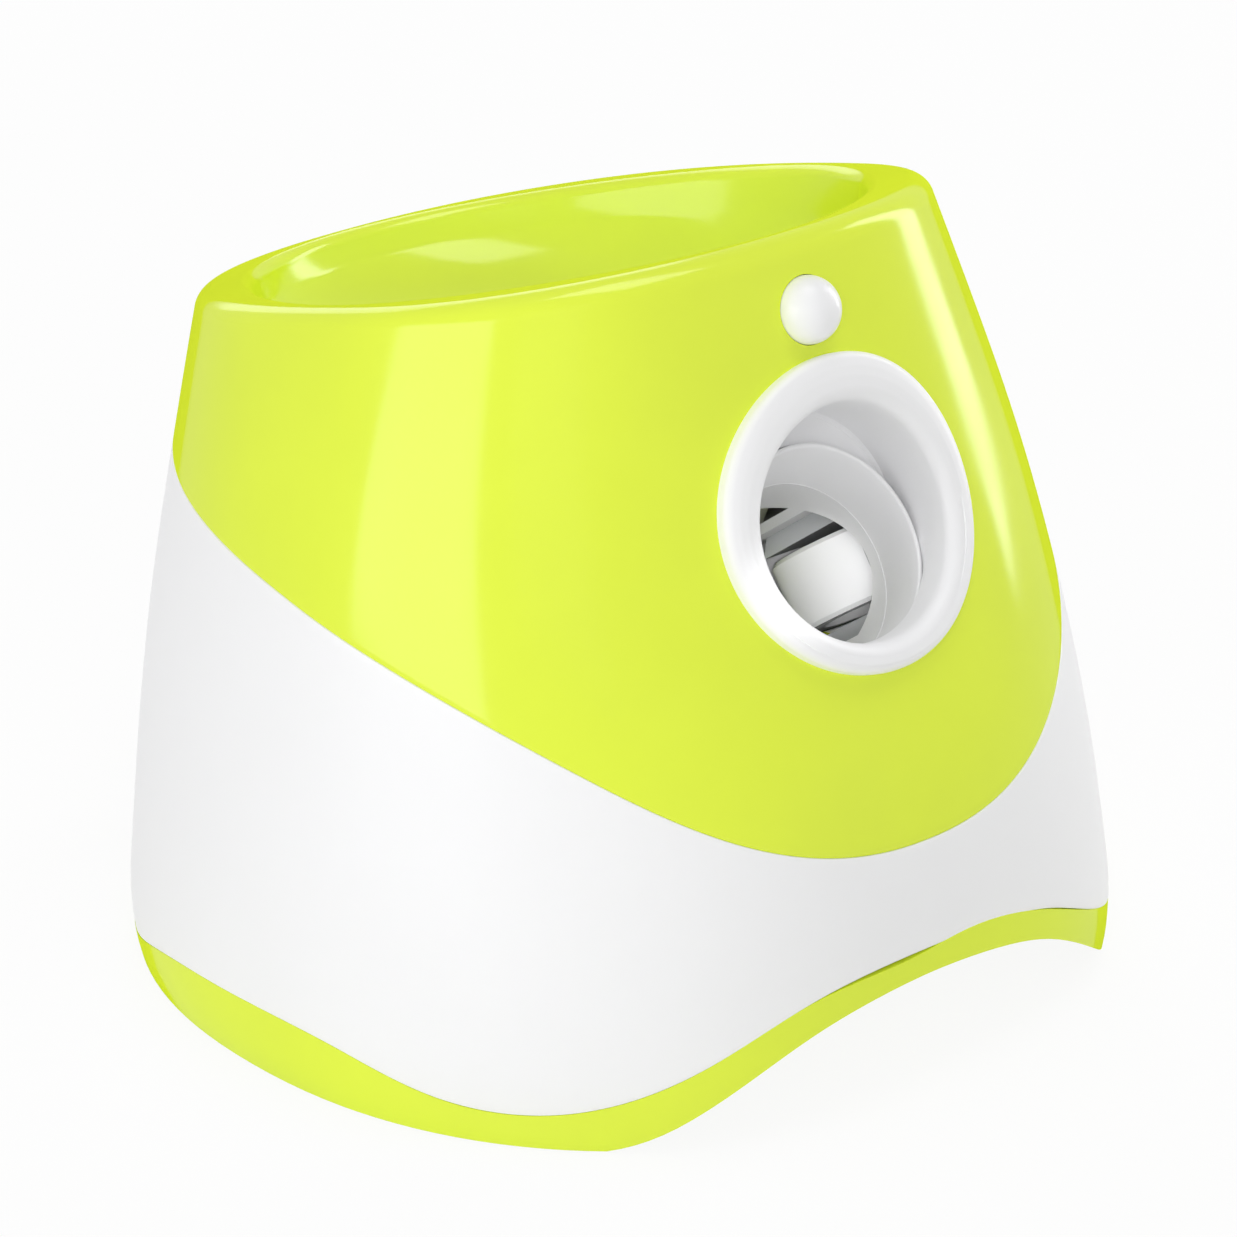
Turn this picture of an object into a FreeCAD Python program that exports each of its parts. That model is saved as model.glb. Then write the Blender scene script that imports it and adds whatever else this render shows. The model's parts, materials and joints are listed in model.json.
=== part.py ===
"""Automatic dog ball launcher: a hopper feeds mini tennis balls to two counter-rotating wheels.

Millimetres. +Z is up, the muzzle faces -Y, the origin is on the ground under the middle of the housing.
"""
import FreeCAD, Part
import math
import os

import Sketcher
from FreeCAD import Placement, Rotation, Vector

document = FreeCAD.newDocument("ball_launcher")
sheet = document.addObject("Spreadsheet::Sheet", "Sizes")

# Housing stations from the foot up: height, half width, reach to the front, reach to the back.
STATIONS = [
    (0.0, 139.0, 139.8, 139.8),
    (12.0, 140.9, 140.8, 141.4),
    (30.0, 140.0, 138.7, 141.3),
    (55.0, 136.9, 134.4, 140.7),
    (100.0, 129.5, 123.1, 139.4),
    (150.0, 119.9, 103.4, 133.4),
    (200.0, 103.6, 84.2, 132.6),
    (250.0, 84.1, 68.2, 131.0),
]

SIZES = {
    # housing skin
    "squareness": 2.18,
    "widest_y": -1.5,
    "wall": 2.6,
    "fit_gap": 0.3,
    "foot_stand": 0.5,
    "centre_y": 1.735,
    # rim and hopper
    "rim_height": 217.0,
    "rim_tilt": 14.6,
    "lip_outer_round": 7.5,
    "lip_inner_round": 3.0,
    "lip_depth": 5.0,
    "mouth_half_width": 88.8,
    "mouth_front": 62.4,
    "mouth_back": 122.8,
    "mouth_middle_y": 20.2,
    "mouth_squareness": 1.9,
    "outlet_height": 156.0,
    "spout_length": 8.0,
    # ball, launch direction and muzzle
    "ball_diameter": 50.0,
    "bore_clearance": 2.5,
    "tube_wall": 2.5,
    "launch_angle": 36.0,
    "muzzle_height": 161.4,
    "muzzle_y": -98.7,
    "muzzle_lean": 22.67,
    "bezel_radius": 44.6,
    "bezel_stand": 4.7,
    "bezel_round": 2.6,
    "throat_radius": 33.4,
    "throat_drop": 2.5,
    "throat_depth": 26.0,
    "throat_round": 4.8,
    "nozzle_lip_radius": 29.6,
    "nozzle_lip_wall": 1.6,
    "nozzle_lip_rise": 3.6,
    "nozzle_length": 15.5,
    "nozzle_setback": 13.508,
    "nozzle_drop": 8.689,
    "wheel_setback": 47.0,
    "ball_rest": 89.5,
    "window_radius": 27.0,
    # launch wheels
    "wheel_radius": 28.0,
    "wheel_width": 22.0,
    "tyre_thickness": 4.0,
    "ball_squeeze": 3.0,
    "flange_gap": 3.0,
    "flange_thickness": 5.2,
    "web_thickness": 2.5,
    "bracket_length": 50.0,
    "bracket_reach": 80.0,
    "shaft_radius": 1.5875,
    "shaft_clearance": 0.05,
    "bush_radius": 4.0,
    "motor_radius": 13.8,
    "motor_length": 38.0,
    # feed pusher
    "pusher_reach": 60.0,
    "pusher_thickness": 9.0,
    "pusher_width": 10.0,
    "servo_length": 40.0,
    "servo_width": 20.0,
    "servo_depth": 37.0,
    # base and battery box
    "floor_height": 38.0,
    "floor_thickness": 2.5,
    "foot_radius": 10.0,
    "pad_radius": 8.4,
    "pad_thickness": 2.8,
    "front_foot_x": 88.0,
    "front_foot_y": 62.0,
    "rear_foot_x": 100.0,
    "rear_foot_y": 60.0,
    "post_radius": 4.5,
    "screw_radius": 1.5,
    "screw_head_radius": 2.8,
    "cell_diameter": 26.2,
    "cell_length": 50.0,
    "battery_y": 78.0,
    "battery_wall": 2.0,
    "door_thickness": 2.2,
    # rear controls and front sensor
    "panel_height": 88.0,
    "panel_width": 60.0,
    "panel_tall": 44.0,
    "button_radius": 7.8,
    "button_travel": 1.5,
    "button_spacing": 38.0,
    "button_rise": 8.0,
    "jack_radius": 5.5,
    "lens_height": 215.6,
    "lens_radius": 9.6,
    "lens_dome": 5.4,
    "board_thickness": 1.6,
}
for station, (height, half_width, front, back) in enumerate(STATIONS, 1):
    SIZES[f"station_height_{station}"] = height
    SIZES[f"half_width_{station}"] = half_width
    SIZES[f"front_reach_{station}"] = front
    SIZES[f"back_reach_{station}"] = back

for row, (alias, number) in enumerate(SIZES.items(), 1):
    sheet.set(f"A{row}", alias)
    sheet.set(f"B{row}", str(number))
    sheet.setAlias(f"B{row}", alias)
document.recompute()


class Measure:
    """A length with its number and the sheet expression that it comes from."""

    def __init__(self, value, text):
        self.value = value
        self.text = text

    def __float__(self):
        return self.value

    def __add__(self, other):
        other = measure(other)
        return Measure(self.value + other.value, f"({self.text} + {other.text})")

    def __sub__(self, other):
        other = measure(other)
        return Measure(self.value - other.value, f"({self.text} - {other.text})")

    def __mul__(self, other):
        other = measure(other)
        return Measure(self.value * other.value, f"({self.text} * {other.text})")

    def __truediv__(self, other):
        other = measure(other)
        return Measure(self.value / other.value, f"({self.text} / {other.text})")

    def __neg__(self):
        return Measure(-self.value, f"(0 - {self.text})")

    __radd__ = __add__
    __rmul__ = __mul__

    def __rsub__(self, other):
        return measure(other) - self


def measure(number):
    if isinstance(number, Measure):
        return number
    return Measure(float(number), f"({float(number)})")


class Sizes:
    """The sheet's cells as measures, by alias."""

    def __getattr__(self, alias):
        return Measure(float(getattr(sheet, alias)), f"Sizes.{alias}")


size = Sizes()
nodes = {}


# --- helpers -------------------------------------------------------------------------------------

def bind(feature, **properties):
    """Sets properties of a feature and ties each to the sheet."""
    for name, value in properties.items():
        value = measure(value)
        setattr(feature, name, value.value)
        feature.setExpression(name, value.text)
    return feature


def put(feature, x=0, y=0, z=0, rotation=None):
    """Places a feature, its position tied to the sheet."""
    position = [measure(x), measure(y), measure(z)]
    feature.Placement = Placement(Vector(*[float(p) for p in position]), rotation or Rotation())
    for axis, value in zip("xyz", position):
        feature.setExpression(f"Placement.Base.{axis}", value.text)
    return feature


def cylinder(name, radius, height, x=0, y=0, z=0, rotation=None):
    feature = bind(document.addObject("Part::Cylinder", name), Radius=radius, Height=height)
    return put(feature, x, y, z, rotation)


def block(name, length, width, height, x=0, y=0, z=0):
    """A box centred on x and y that stands on z."""
    feature = bind(document.addObject("Part::Box", name), Length=length, Width=width, Height=height)
    return put(feature, measure(x) - measure(length) / 2, measure(y) - measure(width) / 2, z)


def cut(name, base, tool):
    feature = document.addObject("Part::Cut", name)
    feature.Base = base
    feature.Tool = tool
    return feature


def fuse(name, *parts):
    feature = document.addObject("Part::MultiFuse", name)
    feature.Shapes = list(parts)
    return feature


def common(name, *parts):
    feature = document.addObject("Part::MultiCommon", name)
    feature.Shapes = list(parts)
    return feature


def compound(name, *parts):
    feature = document.addObject("Part::Compound", name)
    feature.Links = list(parts)
    return feature


def solid_feature(name, shape):
    feature = document.addObject("Part::Feature", name)
    feature.Shape = shape
    return feature


def node(label, feature, placement=None):
    """Names a finished sub-part and moves it so that the whole stands centred over the origin."""
    for axis in "xyz":
        feature.setExpression(f"Placement.Base.{axis}", None)
    centring = Placement(Vector(0, -float(size.centre_y), 0), Rotation())
    feature.Placement = centring.multiply(placement or feature.Placement)
    feature.Label = label
    nodes[label] = feature
    return feature


def new_body(name):
    return document.addObject("PartDesign::Body", name)


def sketch_on(body, name, role, points):
    """A closed outline of straight lines whose corners are tied to the sheet."""
    sketch = body.newObject("Sketcher::SketchObject", name)
    plane = [feature for feature in body.Origin.OriginFeatures if feature.Role == role][0]
    sketch.AttachmentSupport = [(plane, "")]
    sketch.MapMode = "FlatFace"
    corners = [(measure(x), measure(y)) for x, y in points]
    count = len(corners)
    vectors = [Vector(float(x), float(y), 0) for x, y in corners]
    sketch.addGeometry([Part.LineSegment(vectors[i], vectors[(i + 1) % count]) for i in range(count)])
    for i in range(count):
        sketch.addConstraint(Sketcher.Constraint("Coincident", i, 2, (i + 1) % count, 1))
    for i, corner in enumerate(corners):
        for kind, value, axis_line in (("DistanceX", corner[0], -2), ("DistanceY", corner[1], -1)):
            if abs(float(value)) < 1e-9:
                sketch.addConstraint(Sketcher.Constraint("PointOnObject", i, 1, axis_line))
                continue
            index = sketch.addConstraint(Sketcher.Constraint(kind, -1, 1, i, 1, float(value)))
            sketch.setExpression(f"Constraints[{index}]", value.text)
    return sketch


def revolved(label, points, placement=None):
    """A turned piece: its half section in the XZ plane, turned about Z."""
    body = new_body(label + "_body")
    sketch = sketch_on(body, label + "_section", "XZ_Plane", points)
    turn = body.newObject("PartDesign::Revolution", label + "_turn")
    turn.Profile = sketch
    turn.ReferenceAxis = (sketch, ["V_Axis"])
    turn.Angle = 360.0
    return node(label, body, placement)


# --- housing skin --------------------------------------------------------------------------------

def superellipse(half_width, front_y, back_y, middle_y, power, height_at):
    """A closed smooth curve; height_at gives z for each y."""
    points = []
    steps = 32
    for step in range(steps):
        angle = 2 * math.pi * step / steps
        across, along = math.sin(angle), -math.cos(angle)
        reach = middle_y - front_y if along < 0 else back_y - middle_y
        x = half_width * math.copysign(abs(across) ** (2 / power), across)
        y = middle_y + reach * math.copysign(abs(along) ** (2 / power), along)
        points.append(Vector(x, y, height_at(y)))
    curve = Part.BSplineCurve()
    curve.interpolate(points, PeriodicFlag=True)
    return Part.Wire(curve.toShape())


def lofted(wires, ruled=False):
    """A closed solid through the wires, with its faces pointing outwards."""
    solid = Part.makeLoft(wires, True, ruled)
    if solid.Volume < 0:
        solid.reverse()
    return solid


def skin(inset):
    """The housing's smooth outer form, moved inwards by inset."""
    wires = []
    for station in range(1, len(STATIONS) + 1):
        height = float(getattr(size, f"station_height_{station}"))
        half_width = float(getattr(size, f"half_width_{station}")) - inset
        front = float(getattr(size, f"front_reach_{station}")) - inset
        back = float(getattr(size, f"back_reach_{station}")) - inset
        wires.append(superellipse(half_width, -front, back, float(size.widest_y), float(size.squareness),
                                  lambda y, level=height: level))
    return lofted(wires)


BIG = 400.0  # reach of cutting tools beyond the housing
DRILL = 60.0  # length of the tools that make holes through a wall
COLLAR_WALL = 2.2
COLLAR_HEIGHT = 4.0
STEP = 0.15  # small step where two bores meet
SLIDE_GAP = 0.2
SPOUT_WALL = 1.6
DOOR_DROP = 0.2
LUG = 1.0  # how far a post or pillar runs into what it stands on
rim_slope = math.tan(math.radians(float(size.rim_tilt)))


def rim_plane(drop):
    """Height of the tilted rim plane at y, lowered by drop."""
    return lambda y: float(size.rim_height) - rim_slope * y - drop


def side_prism(points, half_length=BIG / 2):
    """An outline in the YZ plane, pushed through along X."""
    return Part.Face(points).extrude(Vector(2 * half_length, 0, 0))


def polygon_yz(points, x=-BIG / 2):
    vectors = [Vector(x, y, z) for y, z in points]
    return Part.makePolygon(vectors + vectors[:1])


def below_rim(drop):
    level = rim_plane(drop)
    outline = polygon_yz([(-BIG, -BIG), (BIG, -BIG), (BIG, level(BIG)), (-BIG, level(-BIG))], -BIG)
    return side_prism(outline, BIG)


def above_rim(drop):
    level = rim_plane(drop)
    outline = polygon_yz([(-BIG, level(-BIG)), (BIG, level(BIG)), (BIG, 2 * BIG), (-BIG, 2 * BIG)], -BIG)
    return side_prism(outline, BIG)


# Upper seam, seen from the side: it sweeps down to the front.
UPPER_SEAM = [(-180, 28), (-131.4, 72.8), (-88, 107.8), (-40, 129.8), (10, 140.8), (60, 146.8),
              (110, 151.3), (180, 160)]


def above_upper_seam():
    curve = Part.BSplineCurve()
    curve.interpolate([Vector(-BIG / 2, y, z) for y, z in UPPER_SEAM])
    first, last = curve.StartPoint, curve.EndPoint
    top = Vector(-BIG / 2, last.y, BIG), Vector(-BIG / 2, first.y, BIG)
    sides = Part.makePolygon([last, top[0], top[1], first])
    return side_prism(Part.Wire([curve.toShape()] + sides.Edges))


# Lower seam: height by angle from the front, the same on both sides.
LOWER_SEAM = [(0, 43.7), (17.8, 39.2), (32.8, 22.3), (46.4, 11.8), (60.1, 12.0), (74.7, 19.4),
              (92.4, 20.8), (109.2, 17.2), (119.0, 10.6), (129.0, 5.2), (140.0, 8.0), (152.0, 20.5),
              (165.0, 35.5), (180, 43.0)]


def below_lower_seam():
    rings = []
    for radius in (BIG / 10, BIG / 2):
        points = []
        for angle, height in LOWER_SEAM + [(-a, h) for a, h in reversed(LOWER_SEAM[1:-1])]:
            turn = math.radians(angle)
            points.append(Vector(radius * math.sin(turn), -radius * math.cos(turn), height))
        curve = Part.BSplineCurve()
        curve.interpolate(points, PeriodicFlag=True)
        rings.append(curve.toShape())
    solid = Part.makeRuledSurface(rings[0], rings[1]).extrude(Vector(0, 0, -BIG / 2))
    if solid.Volume < 0:
        solid.reverse()
    return solid


# Arch under the housing's front and back edges, seen from the front.
ARCH = [(0, 36.7), (22, 35.0), (43.3, 29.6), (62, 20.5), (78.6, 10.0), (90, 3.2), (101, -0.4)]


def arch_tunnel():
    points = [(-x, z) for x, z in reversed(ARCH[1:])] + ARCH
    curve = Part.BSplineCurve()
    curve.interpolate([Vector(x, -BIG / 2, z) for x, z in points])
    first, last = curve.StartPoint, curve.EndPoint
    sunk = Vector(0, 0, -DRILL)
    ends = Part.makePolygon([last, last + sunk, first + sunk, first])
    return Part.Face(Part.Wire([curve.toShape()] + ends.Edges)).extrude(Vector(0, BIG, 0))


def mouth_prism(spread):
    """The hopper's mouth outline as an upright prism, widened by spread."""
    wire = superellipse(float(size.mouth_half_width) + spread, -float(size.mouth_front) - spread,
                        float(size.mouth_back) + spread, float(size.mouth_middle_y),
                        float(size.mouth_squareness), lambda y: BIG / 4)
    return Part.Face(wire).extrude(Vector(0, 0, BIG / 2))


def front_y(height):
    """The housing's front profile at x = 0."""
    probe = Part.makeLine(Vector(0, -BIG / 2, height), Vector(0, 0, height))
    return outer_skin.common(probe).BoundBox.YMin


wall = float(size.wall)
outer_skin = skin(0.0)
inner_skin = skin(wall)

lens_z = float(size.lens_height)
lens_centre = Vector(0, front_y(lens_z), lens_z)
LENS_SPAN = 4.0  # half the height over which the front's lean is taken
lens_lean = math.atan2(front_y(lens_z + LENS_SPAN) - front_y(lens_z - LENS_SPAN), 2 * LENS_SPAN)
lens_axis = Vector(0, -math.cos(lens_lean), math.sin(lens_lean))

# --- frames for the tilted pieces ----------------------------------------------------------------

lean = math.radians(float(size.muzzle_lean))
muzzle_out = Vector(0, -math.cos(lean), math.sin(lean))
muzzle_up = Vector(0, math.sin(lean), math.cos(lean))
muzzle_centre = Vector(0, float(size.muzzle_y), float(size.muzzle_height))
muzzle_turn = Rotation(Vector(1, 0, 0), 90 - float(size.muzzle_lean))

elevation = math.radians(float(size.launch_angle))
launch_out = Vector(0, -math.cos(elevation), math.sin(elevation))
launch_up = Vector(0, math.sin(elevation), math.cos(elevation))
nozzle_centre = (muzzle_centre - muzzle_out * float(size.nozzle_setback)
                 - muzzle_up * float(size.nozzle_drop))
launch_origin = nozzle_centre - launch_up * float(size.nozzle_lip_rise)
launch_turn = Rotation(Vector(1, 0, 0), 90 - float(size.launch_angle))
launch_frame = Placement(launch_origin, launch_turn)
muzzle_frame = Placement(muzzle_centre, muzzle_turn)


def on_axis(depth, rise=0.0):
    """A point on the launch axis, depth behind the nozzle's lip."""
    return launch_origin - launch_out * depth + launch_up * rise


def in_launch(x, y, z, rotation=None):
    return launch_frame.multiply(Placement(Vector(float(x), float(y), float(z)), rotation or Rotation()))


ball_radius = size.ball_diameter / 2
bore_radius = ball_radius + size.bore_clearance
tube_radius = bore_radius + size.tube_wall
wheel_x = ball_radius - size.ball_squeeze / 2 + size.wheel_radius
wheel_depth = size.wheel_setback
ball_seat = on_axis(float(size.ball_rest))
BALL_PLAY = 0.5
chamber_depth = size.ball_rest + ball_radius + BALL_PLAY


# --- housing -------------------------------------------------------------------------------------

def make_upper_shell():
    """Green upper housing: wall, rolled lip, muzzle and sensor holes, screw posts."""
    form = outer_skin.common(below_rim(0.0)).common(above_upper_seam())
    crest = [edge for edge in form.Edges if on_rim_edge(edge)]
    form = form.makeFillet(float(size.lip_outer_round), crest)
    mouth = mouth_prism(0.0)
    form = form.cut(mouth)
    inner_edge = [edge for edge in form.Edges if on_rim_edge(edge)]
    inner_edge = [edge for edge in inner_edge if inside_mouth(edge)]
    form = form.makeFillet(float(size.lip_inner_round), inner_edge)
    hollow = inner_skin.common(below_rim(wall))
    lip_ring = mouth_prism(wall).common(above_rim(float(size.lip_depth)))
    shell = form.cut(hollow.cut(lip_ring))
    posts = [post(x, y) for x, y in feet()]
    posts = posts[0].fuse(posts[1:]).common(skin(wall / 2)).cut(mouth_prism(wall))
    throat = Part.makeCylinder(float(size.throat_radius) + wall + float(size.fit_gap), DRILL,
                               muzzle_point(-DRILL / 2, -float(size.throat_drop)), muzzle_out)
    lens = Part.makeCylinder(float(size.lens_radius) + SLIDE_GAP, DRILL, lens_centre - lens_axis * DRILL / 2,
                             lens_axis)
    pilots = [Part.makeCylinder(float(size.screw_radius), DRILL / 2, Vector(x, y, floor_top()))
              for x, y in feet()]
    return shell.fuse(posts.common(below_rim(wall + LUG))).cut([throat, lens] + pilots)


def along(edge, count=7):
    """Points spread along an edge from its start to its end."""
    first, last = edge.FirstParameter, edge.LastParameter
    return [edge.valueAt(first + (last - first) * k / (count - 1)) for k in range(count)]


def on_rim_edge(edge):
    level = rim_plane(0.0)
    return all(abs(point.z - level(point.y)) < 0.05 for point in along(edge))


def inside_mouth(edge, margin=0.5):
    reach, front = float(size.mouth_half_width) + margin, -float(size.mouth_front) - margin
    return all(abs(vertex.X) < reach and vertex.Y > front for vertex in edge.Vertexes)


def muzzle_point(out, up):
    return muzzle_centre + muzzle_out * out + muzzle_up * up


def feet():
    """Centres of the four feet; a screw goes up through each."""
    return [(sign * float(x), y) for x, y in ((size.front_foot_x, -float(size.front_foot_y)),
                                              (size.rear_foot_x, float(size.rear_foot_y)))
            for sign in (-1, 1)]


def floor_top():
    return float(size.floor_height) + float(size.floor_thickness)


def post(foot_x, foot_y):
    return Part.makeCylinder(float(size.post_radius), BIG / 2, Vector(foot_x, foot_y, floor_top()))


def make_body_shell():
    """White middle housing, with the opening for the rear control panel."""
    wall_ring = outer_skin.cut(inner_skin)
    shell = wall_ring.cut(above_upper_seam()).cut(below_lower_seam())
    return shell.cut(panel_opening(0.0))


PANEL_CORNER = 7.0
BEHIND = 100.0  # where the tools for the rear controls start


def panel_opening(spread):
    width = float(size.panel_width) + 2 * spread
    tall = float(size.panel_tall) + 2 * spread
    corner = PANEL_CORNER + spread
    start = Vector(-width / 2, BEHIND, float(size.panel_height) - tall / 2)
    opening = Part.makeBox(width, DRILL, tall, start)
    upright = [edge for edge in opening.Edges if abs(edge.tangentAt(edge.FirstParameter).y) > 0.9]
    return opening.makeFillet(corner, upright)


CRADLE_BOSS_RADIUS = 4.0
CRADLE_BOSS_HEIGHT = 6.0
CRADLE_X = 22.0
CRADLE_YS = (-72, -36)
SCREW_SHOULDER = 4.0
CELL_PLAY = 0.8
CONTACT_ROOM = 8.0
ROW_WALL = 1.5


def make_base_tray():
    """Green base: scalloped skirt, floor plate, four hollow feet and the battery opening."""
    skirt = outer_skin.cut(inner_skin).common(below_lower_seam())
    ground = Part.makeBox(BIG, BIG, BIG, Vector(-BIG / 2, -BIG / 2, float(size.foot_stand) - BIG))
    skirt = skirt.cut(ground)
    floor_slab = Part.makeBox(BIG, BIG, float(size.floor_thickness),
                              Vector(-BIG / 2, -BIG / 2, float(size.floor_height)))
    body_wall = outer_skin.cut(skin(wall + SLIDE_GAP)).cut(below_lower_seam())
    floor_plate = skin(wall - SLIDE_GAP).common(floor_slab).cut(body_wall)
    tray = skirt.cut(arch_tunnel())
    foot_length = float(size.floor_height) - float(size.foot_stand)
    pillars, holes = [], []
    for x, y in feet():
        at_ground = Vector(x, y, float(size.foot_stand))
        pillars.append(Part.makeCylinder(float(size.foot_radius), foot_length + LUG, at_ground))
        holes.append(Part.makeCylinder(float(size.pad_radius) + SLIDE_GAP / 2, pad_recess(), at_ground))
        head_bore = float(size.screw_head_radius) + float(size.fit_gap)
        holes.append(Part.makeCylinder(head_bore, screw_seat() - float(size.foot_stand), at_ground))
        holes.append(Part.makeCylinder(float(size.screw_radius) + SLIDE_GAP, DRILL, at_ground))
    boss_low = float(size.floor_height) - CRADLE_BOSS_HEIGHT
    for x, y in cradle_feet():
        boss_foot = Vector(x, y, boss_low)
        pillars.append(Part.makeCylinder(CRADLE_BOSS_RADIUS, CRADLE_BOSS_HEIGHT + LUG, boss_foot))
        holes.append(Part.makeCylinder(float(size.screw_radius), DRILL, boss_foot + Vector(0, 0, LUG)))
    width, depth = battery_inside()
    corner = Vector(-width / 2, float(size.battery_y) - depth / 2, boss_low)
    holes.append(Part.makeBox(width, depth, DRILL, corner))
    hinge_start = Vector(-width / 2 - HINGE_REACH - SLIDE_GAP, hinge_place()[0], hinge_place()[1])
    hinge_length = width + 2 * (HINGE_REACH + SLIDE_GAP)
    holes.append(Part.makeCylinder(HINGE_RADIUS + HINGE_GAP, hinge_length, hinge_start, Vector(1, 0, 0)))
    return tray.fuse([floor_plate] + pillars).cut(holes)


def cradle_feet():
    """Where the chamber's cradle is screwed to the floor plate."""
    return [(x, y) for x in (-CRADLE_X, CRADLE_X) for y in CRADLE_YS]


def pad_recess():
    return float(size.pad_thickness) - float(size.foot_stand)


def screw_seat():
    """Height of the shoulder under which the case screws' heads sit."""
    return float(size.floor_height) - SCREW_SHOULDER


def battery_inside():
    """Width and depth of the opening for three cells in each of two rows."""
    width = 3 * float(size.cell_length) + CONTACT_ROOM
    depth = 2 * (float(size.cell_diameter) + CELL_PLAY) + ROW_WALL
    return width, depth


HINGE_INSET = 2.0
HINGE_RADIUS = 0.7
HINGE_REACH = 1.8
HINGE_GAP = 0.3


def hinge_place():
    """The battery door's hinge line, as y and z."""
    inside_depth = battery_inside()[1]
    middle_z = floor_top() - DOOR_DROP - float(size.door_thickness) / 2
    return float(size.battery_y) - inside_depth / 2 + HINGE_INSET, middle_z


def bowl(thickness):
    """The hopper's bowl as a solid, grown outwards by thickness: steep at the rim, gentle at the outlet."""
    mouth = (float(size.mouth_half_width), -float(size.mouth_front), float(size.mouth_back))
    reach = spout_radius() + 6 * STEP
    outlet = (reach, ball_seat.y - reach, ball_seat.y + reach)
    even, steep = 0.6, 0.4
    wires = []
    for inward in (0.0, 0.06, 0.18, 0.4, 0.7, 1.0):
        drop = even * inward + steep * (1 - (1 - inward) ** 4)
        half_width, front, back = [top + (low - top) * inward for top, low in zip(mouth, outlet)]
        middle = float(size.mouth_middle_y) + (ball_seat.y - float(size.mouth_middle_y)) * inward
        power = float(size.mouth_squareness) + (2 - float(size.mouth_squareness)) * inward
        rim = rim_plane(float(size.lip_depth))
        outlet_level = float(size.outlet_height) - thickness * inward
        wires.append(superellipse(half_width + thickness, front - thickness, back + thickness, middle, power,
                                  lambda y: rim(y) + (outlet_level - rim(y)) * drop))
    return lofted(wires)


def spout_radius():
    return float(bore_radius) - BALL_PLAY


def make_hopper():
    """Green funnel under the rim: bowl, outlet spout and the collar round the lip."""
    lip_depth = float(size.lip_depth)
    collar = mouth_prism(wall + COLLAR_WALL).common(above_rim(lip_depth + COLLAR_HEIGHT))
    inside = below_rim(wall + float(size.fit_gap)).common(skin(wall + float(size.fit_gap)))
    pocket = mouth_prism(wall + SLIDE_GAP).common(above_rim(lip_depth + SLIDE_GAP))
    collar = collar.common(inside).cut([pocket, mouth_prism(2 * SLIDE_GAP)])
    funnel = bowl(wall).fuse([spout_tube(spout_radius() + SPOUT_WALL, LUG), collar])
    return funnel.cut([bowl(0.0), spout_tube(spout_radius(), 6 * LUG)])


def spout_tube(radius, above):
    """The outlet spout's cylinder, reaching above the bowl's lowest ring."""
    length = float(size.spout_length)
    foot = Vector(0, ball_seat.y, float(size.outlet_height) - length)
    return Part.makeCylinder(radius, length + above, foot)


def sleeve_radius():
    """Inside radius of the nozzle's sleeve, which slides over the launch tube."""
    return float(tube_radius) + SLIDE_GAP


def make_bezel():
    """White muzzle ring that follows the housing, with soft edges, its throat and the throat's back wall."""
    drop = -float(size.throat_drop)
    bezel_radius, throat_radius = float(size.bezel_radius), float(size.throat_radius)
    ring = Part.makeCylinder(bezel_radius, DRILL, muzzle_point(-DRILL / 2, 0), muzzle_out)
    bore = Part.makeCylinder(throat_radius, 2 * DRILL, muzzle_point(-DRILL, drop), muzzle_out)
    form = skin(-float(size.bezel_stand)).common(ring).cut(bore)
    outer_edges = edges_around(form, muzzle_point(0, 0), bezel_radius)
    form = form.makeFillet(float(size.bezel_round), outer_edges)
    throat_edges = edges_around(form, muzzle_point(0, drop), throat_radius)
    form = form.makeFillet(float(size.throat_round), throat_edges)
    bottom = muzzle_point(-float(size.throat_depth), drop)
    collar = Part.makeCylinder(throat_radius + wall, DRILL, bottom, muzzle_out)
    back_wall = Part.makeCylinder(throat_radius + wall, wall, bottom, muzzle_out)
    form = form.cut(outer_skin.cut(collar)).fuse(back_wall)
    lip_reach = float(size.nozzle_lip_radius) + float(size.nozzle_lip_wall) + float(size.fit_gap)
    lip_hole = Part.makeCylinder(lip_reach, DRILL, nozzle_centre - launch_out * (DRILL - LUG), launch_out)
    sleeve_front = float(size.nozzle_length) - 3 * LUG
    sleeve_hole = Part.makeCylinder(sleeve_radius() + SLEEVE_WALL + float(size.fit_gap), DRILL,
                                    launch_origin - launch_out * (DRILL + sleeve_front), launch_out)
    return form.cut([lip_hole, sleeve_hole])


def edges_around(shape, centre, radius):
    """The front edges that run at one radius round the muzzle's axis."""
    found = []
    for edge in shape.Edges:
        samples = [point - centre for point in along(edge, 5)]
        reaches = [math.hypot(point.x, point.dot(muzzle_up)) for point in samples]
        span = max((a - b).Length for a in samples for b in samples)
        depths = [point.dot(muzzle_out) for point in samples]
        at_front = min(depths) > -DRILL / 2
        runs_round = span > 1.5 * (max(depths) - min(depths))
        if all(abs(reach - radius) < 0.01 for reach in reaches) and at_front and runs_round:
            found.append(edge)
    return found


SLEEVE_WALL = 1.6
SLEEVE_OVERLAP = 6.0


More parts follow.
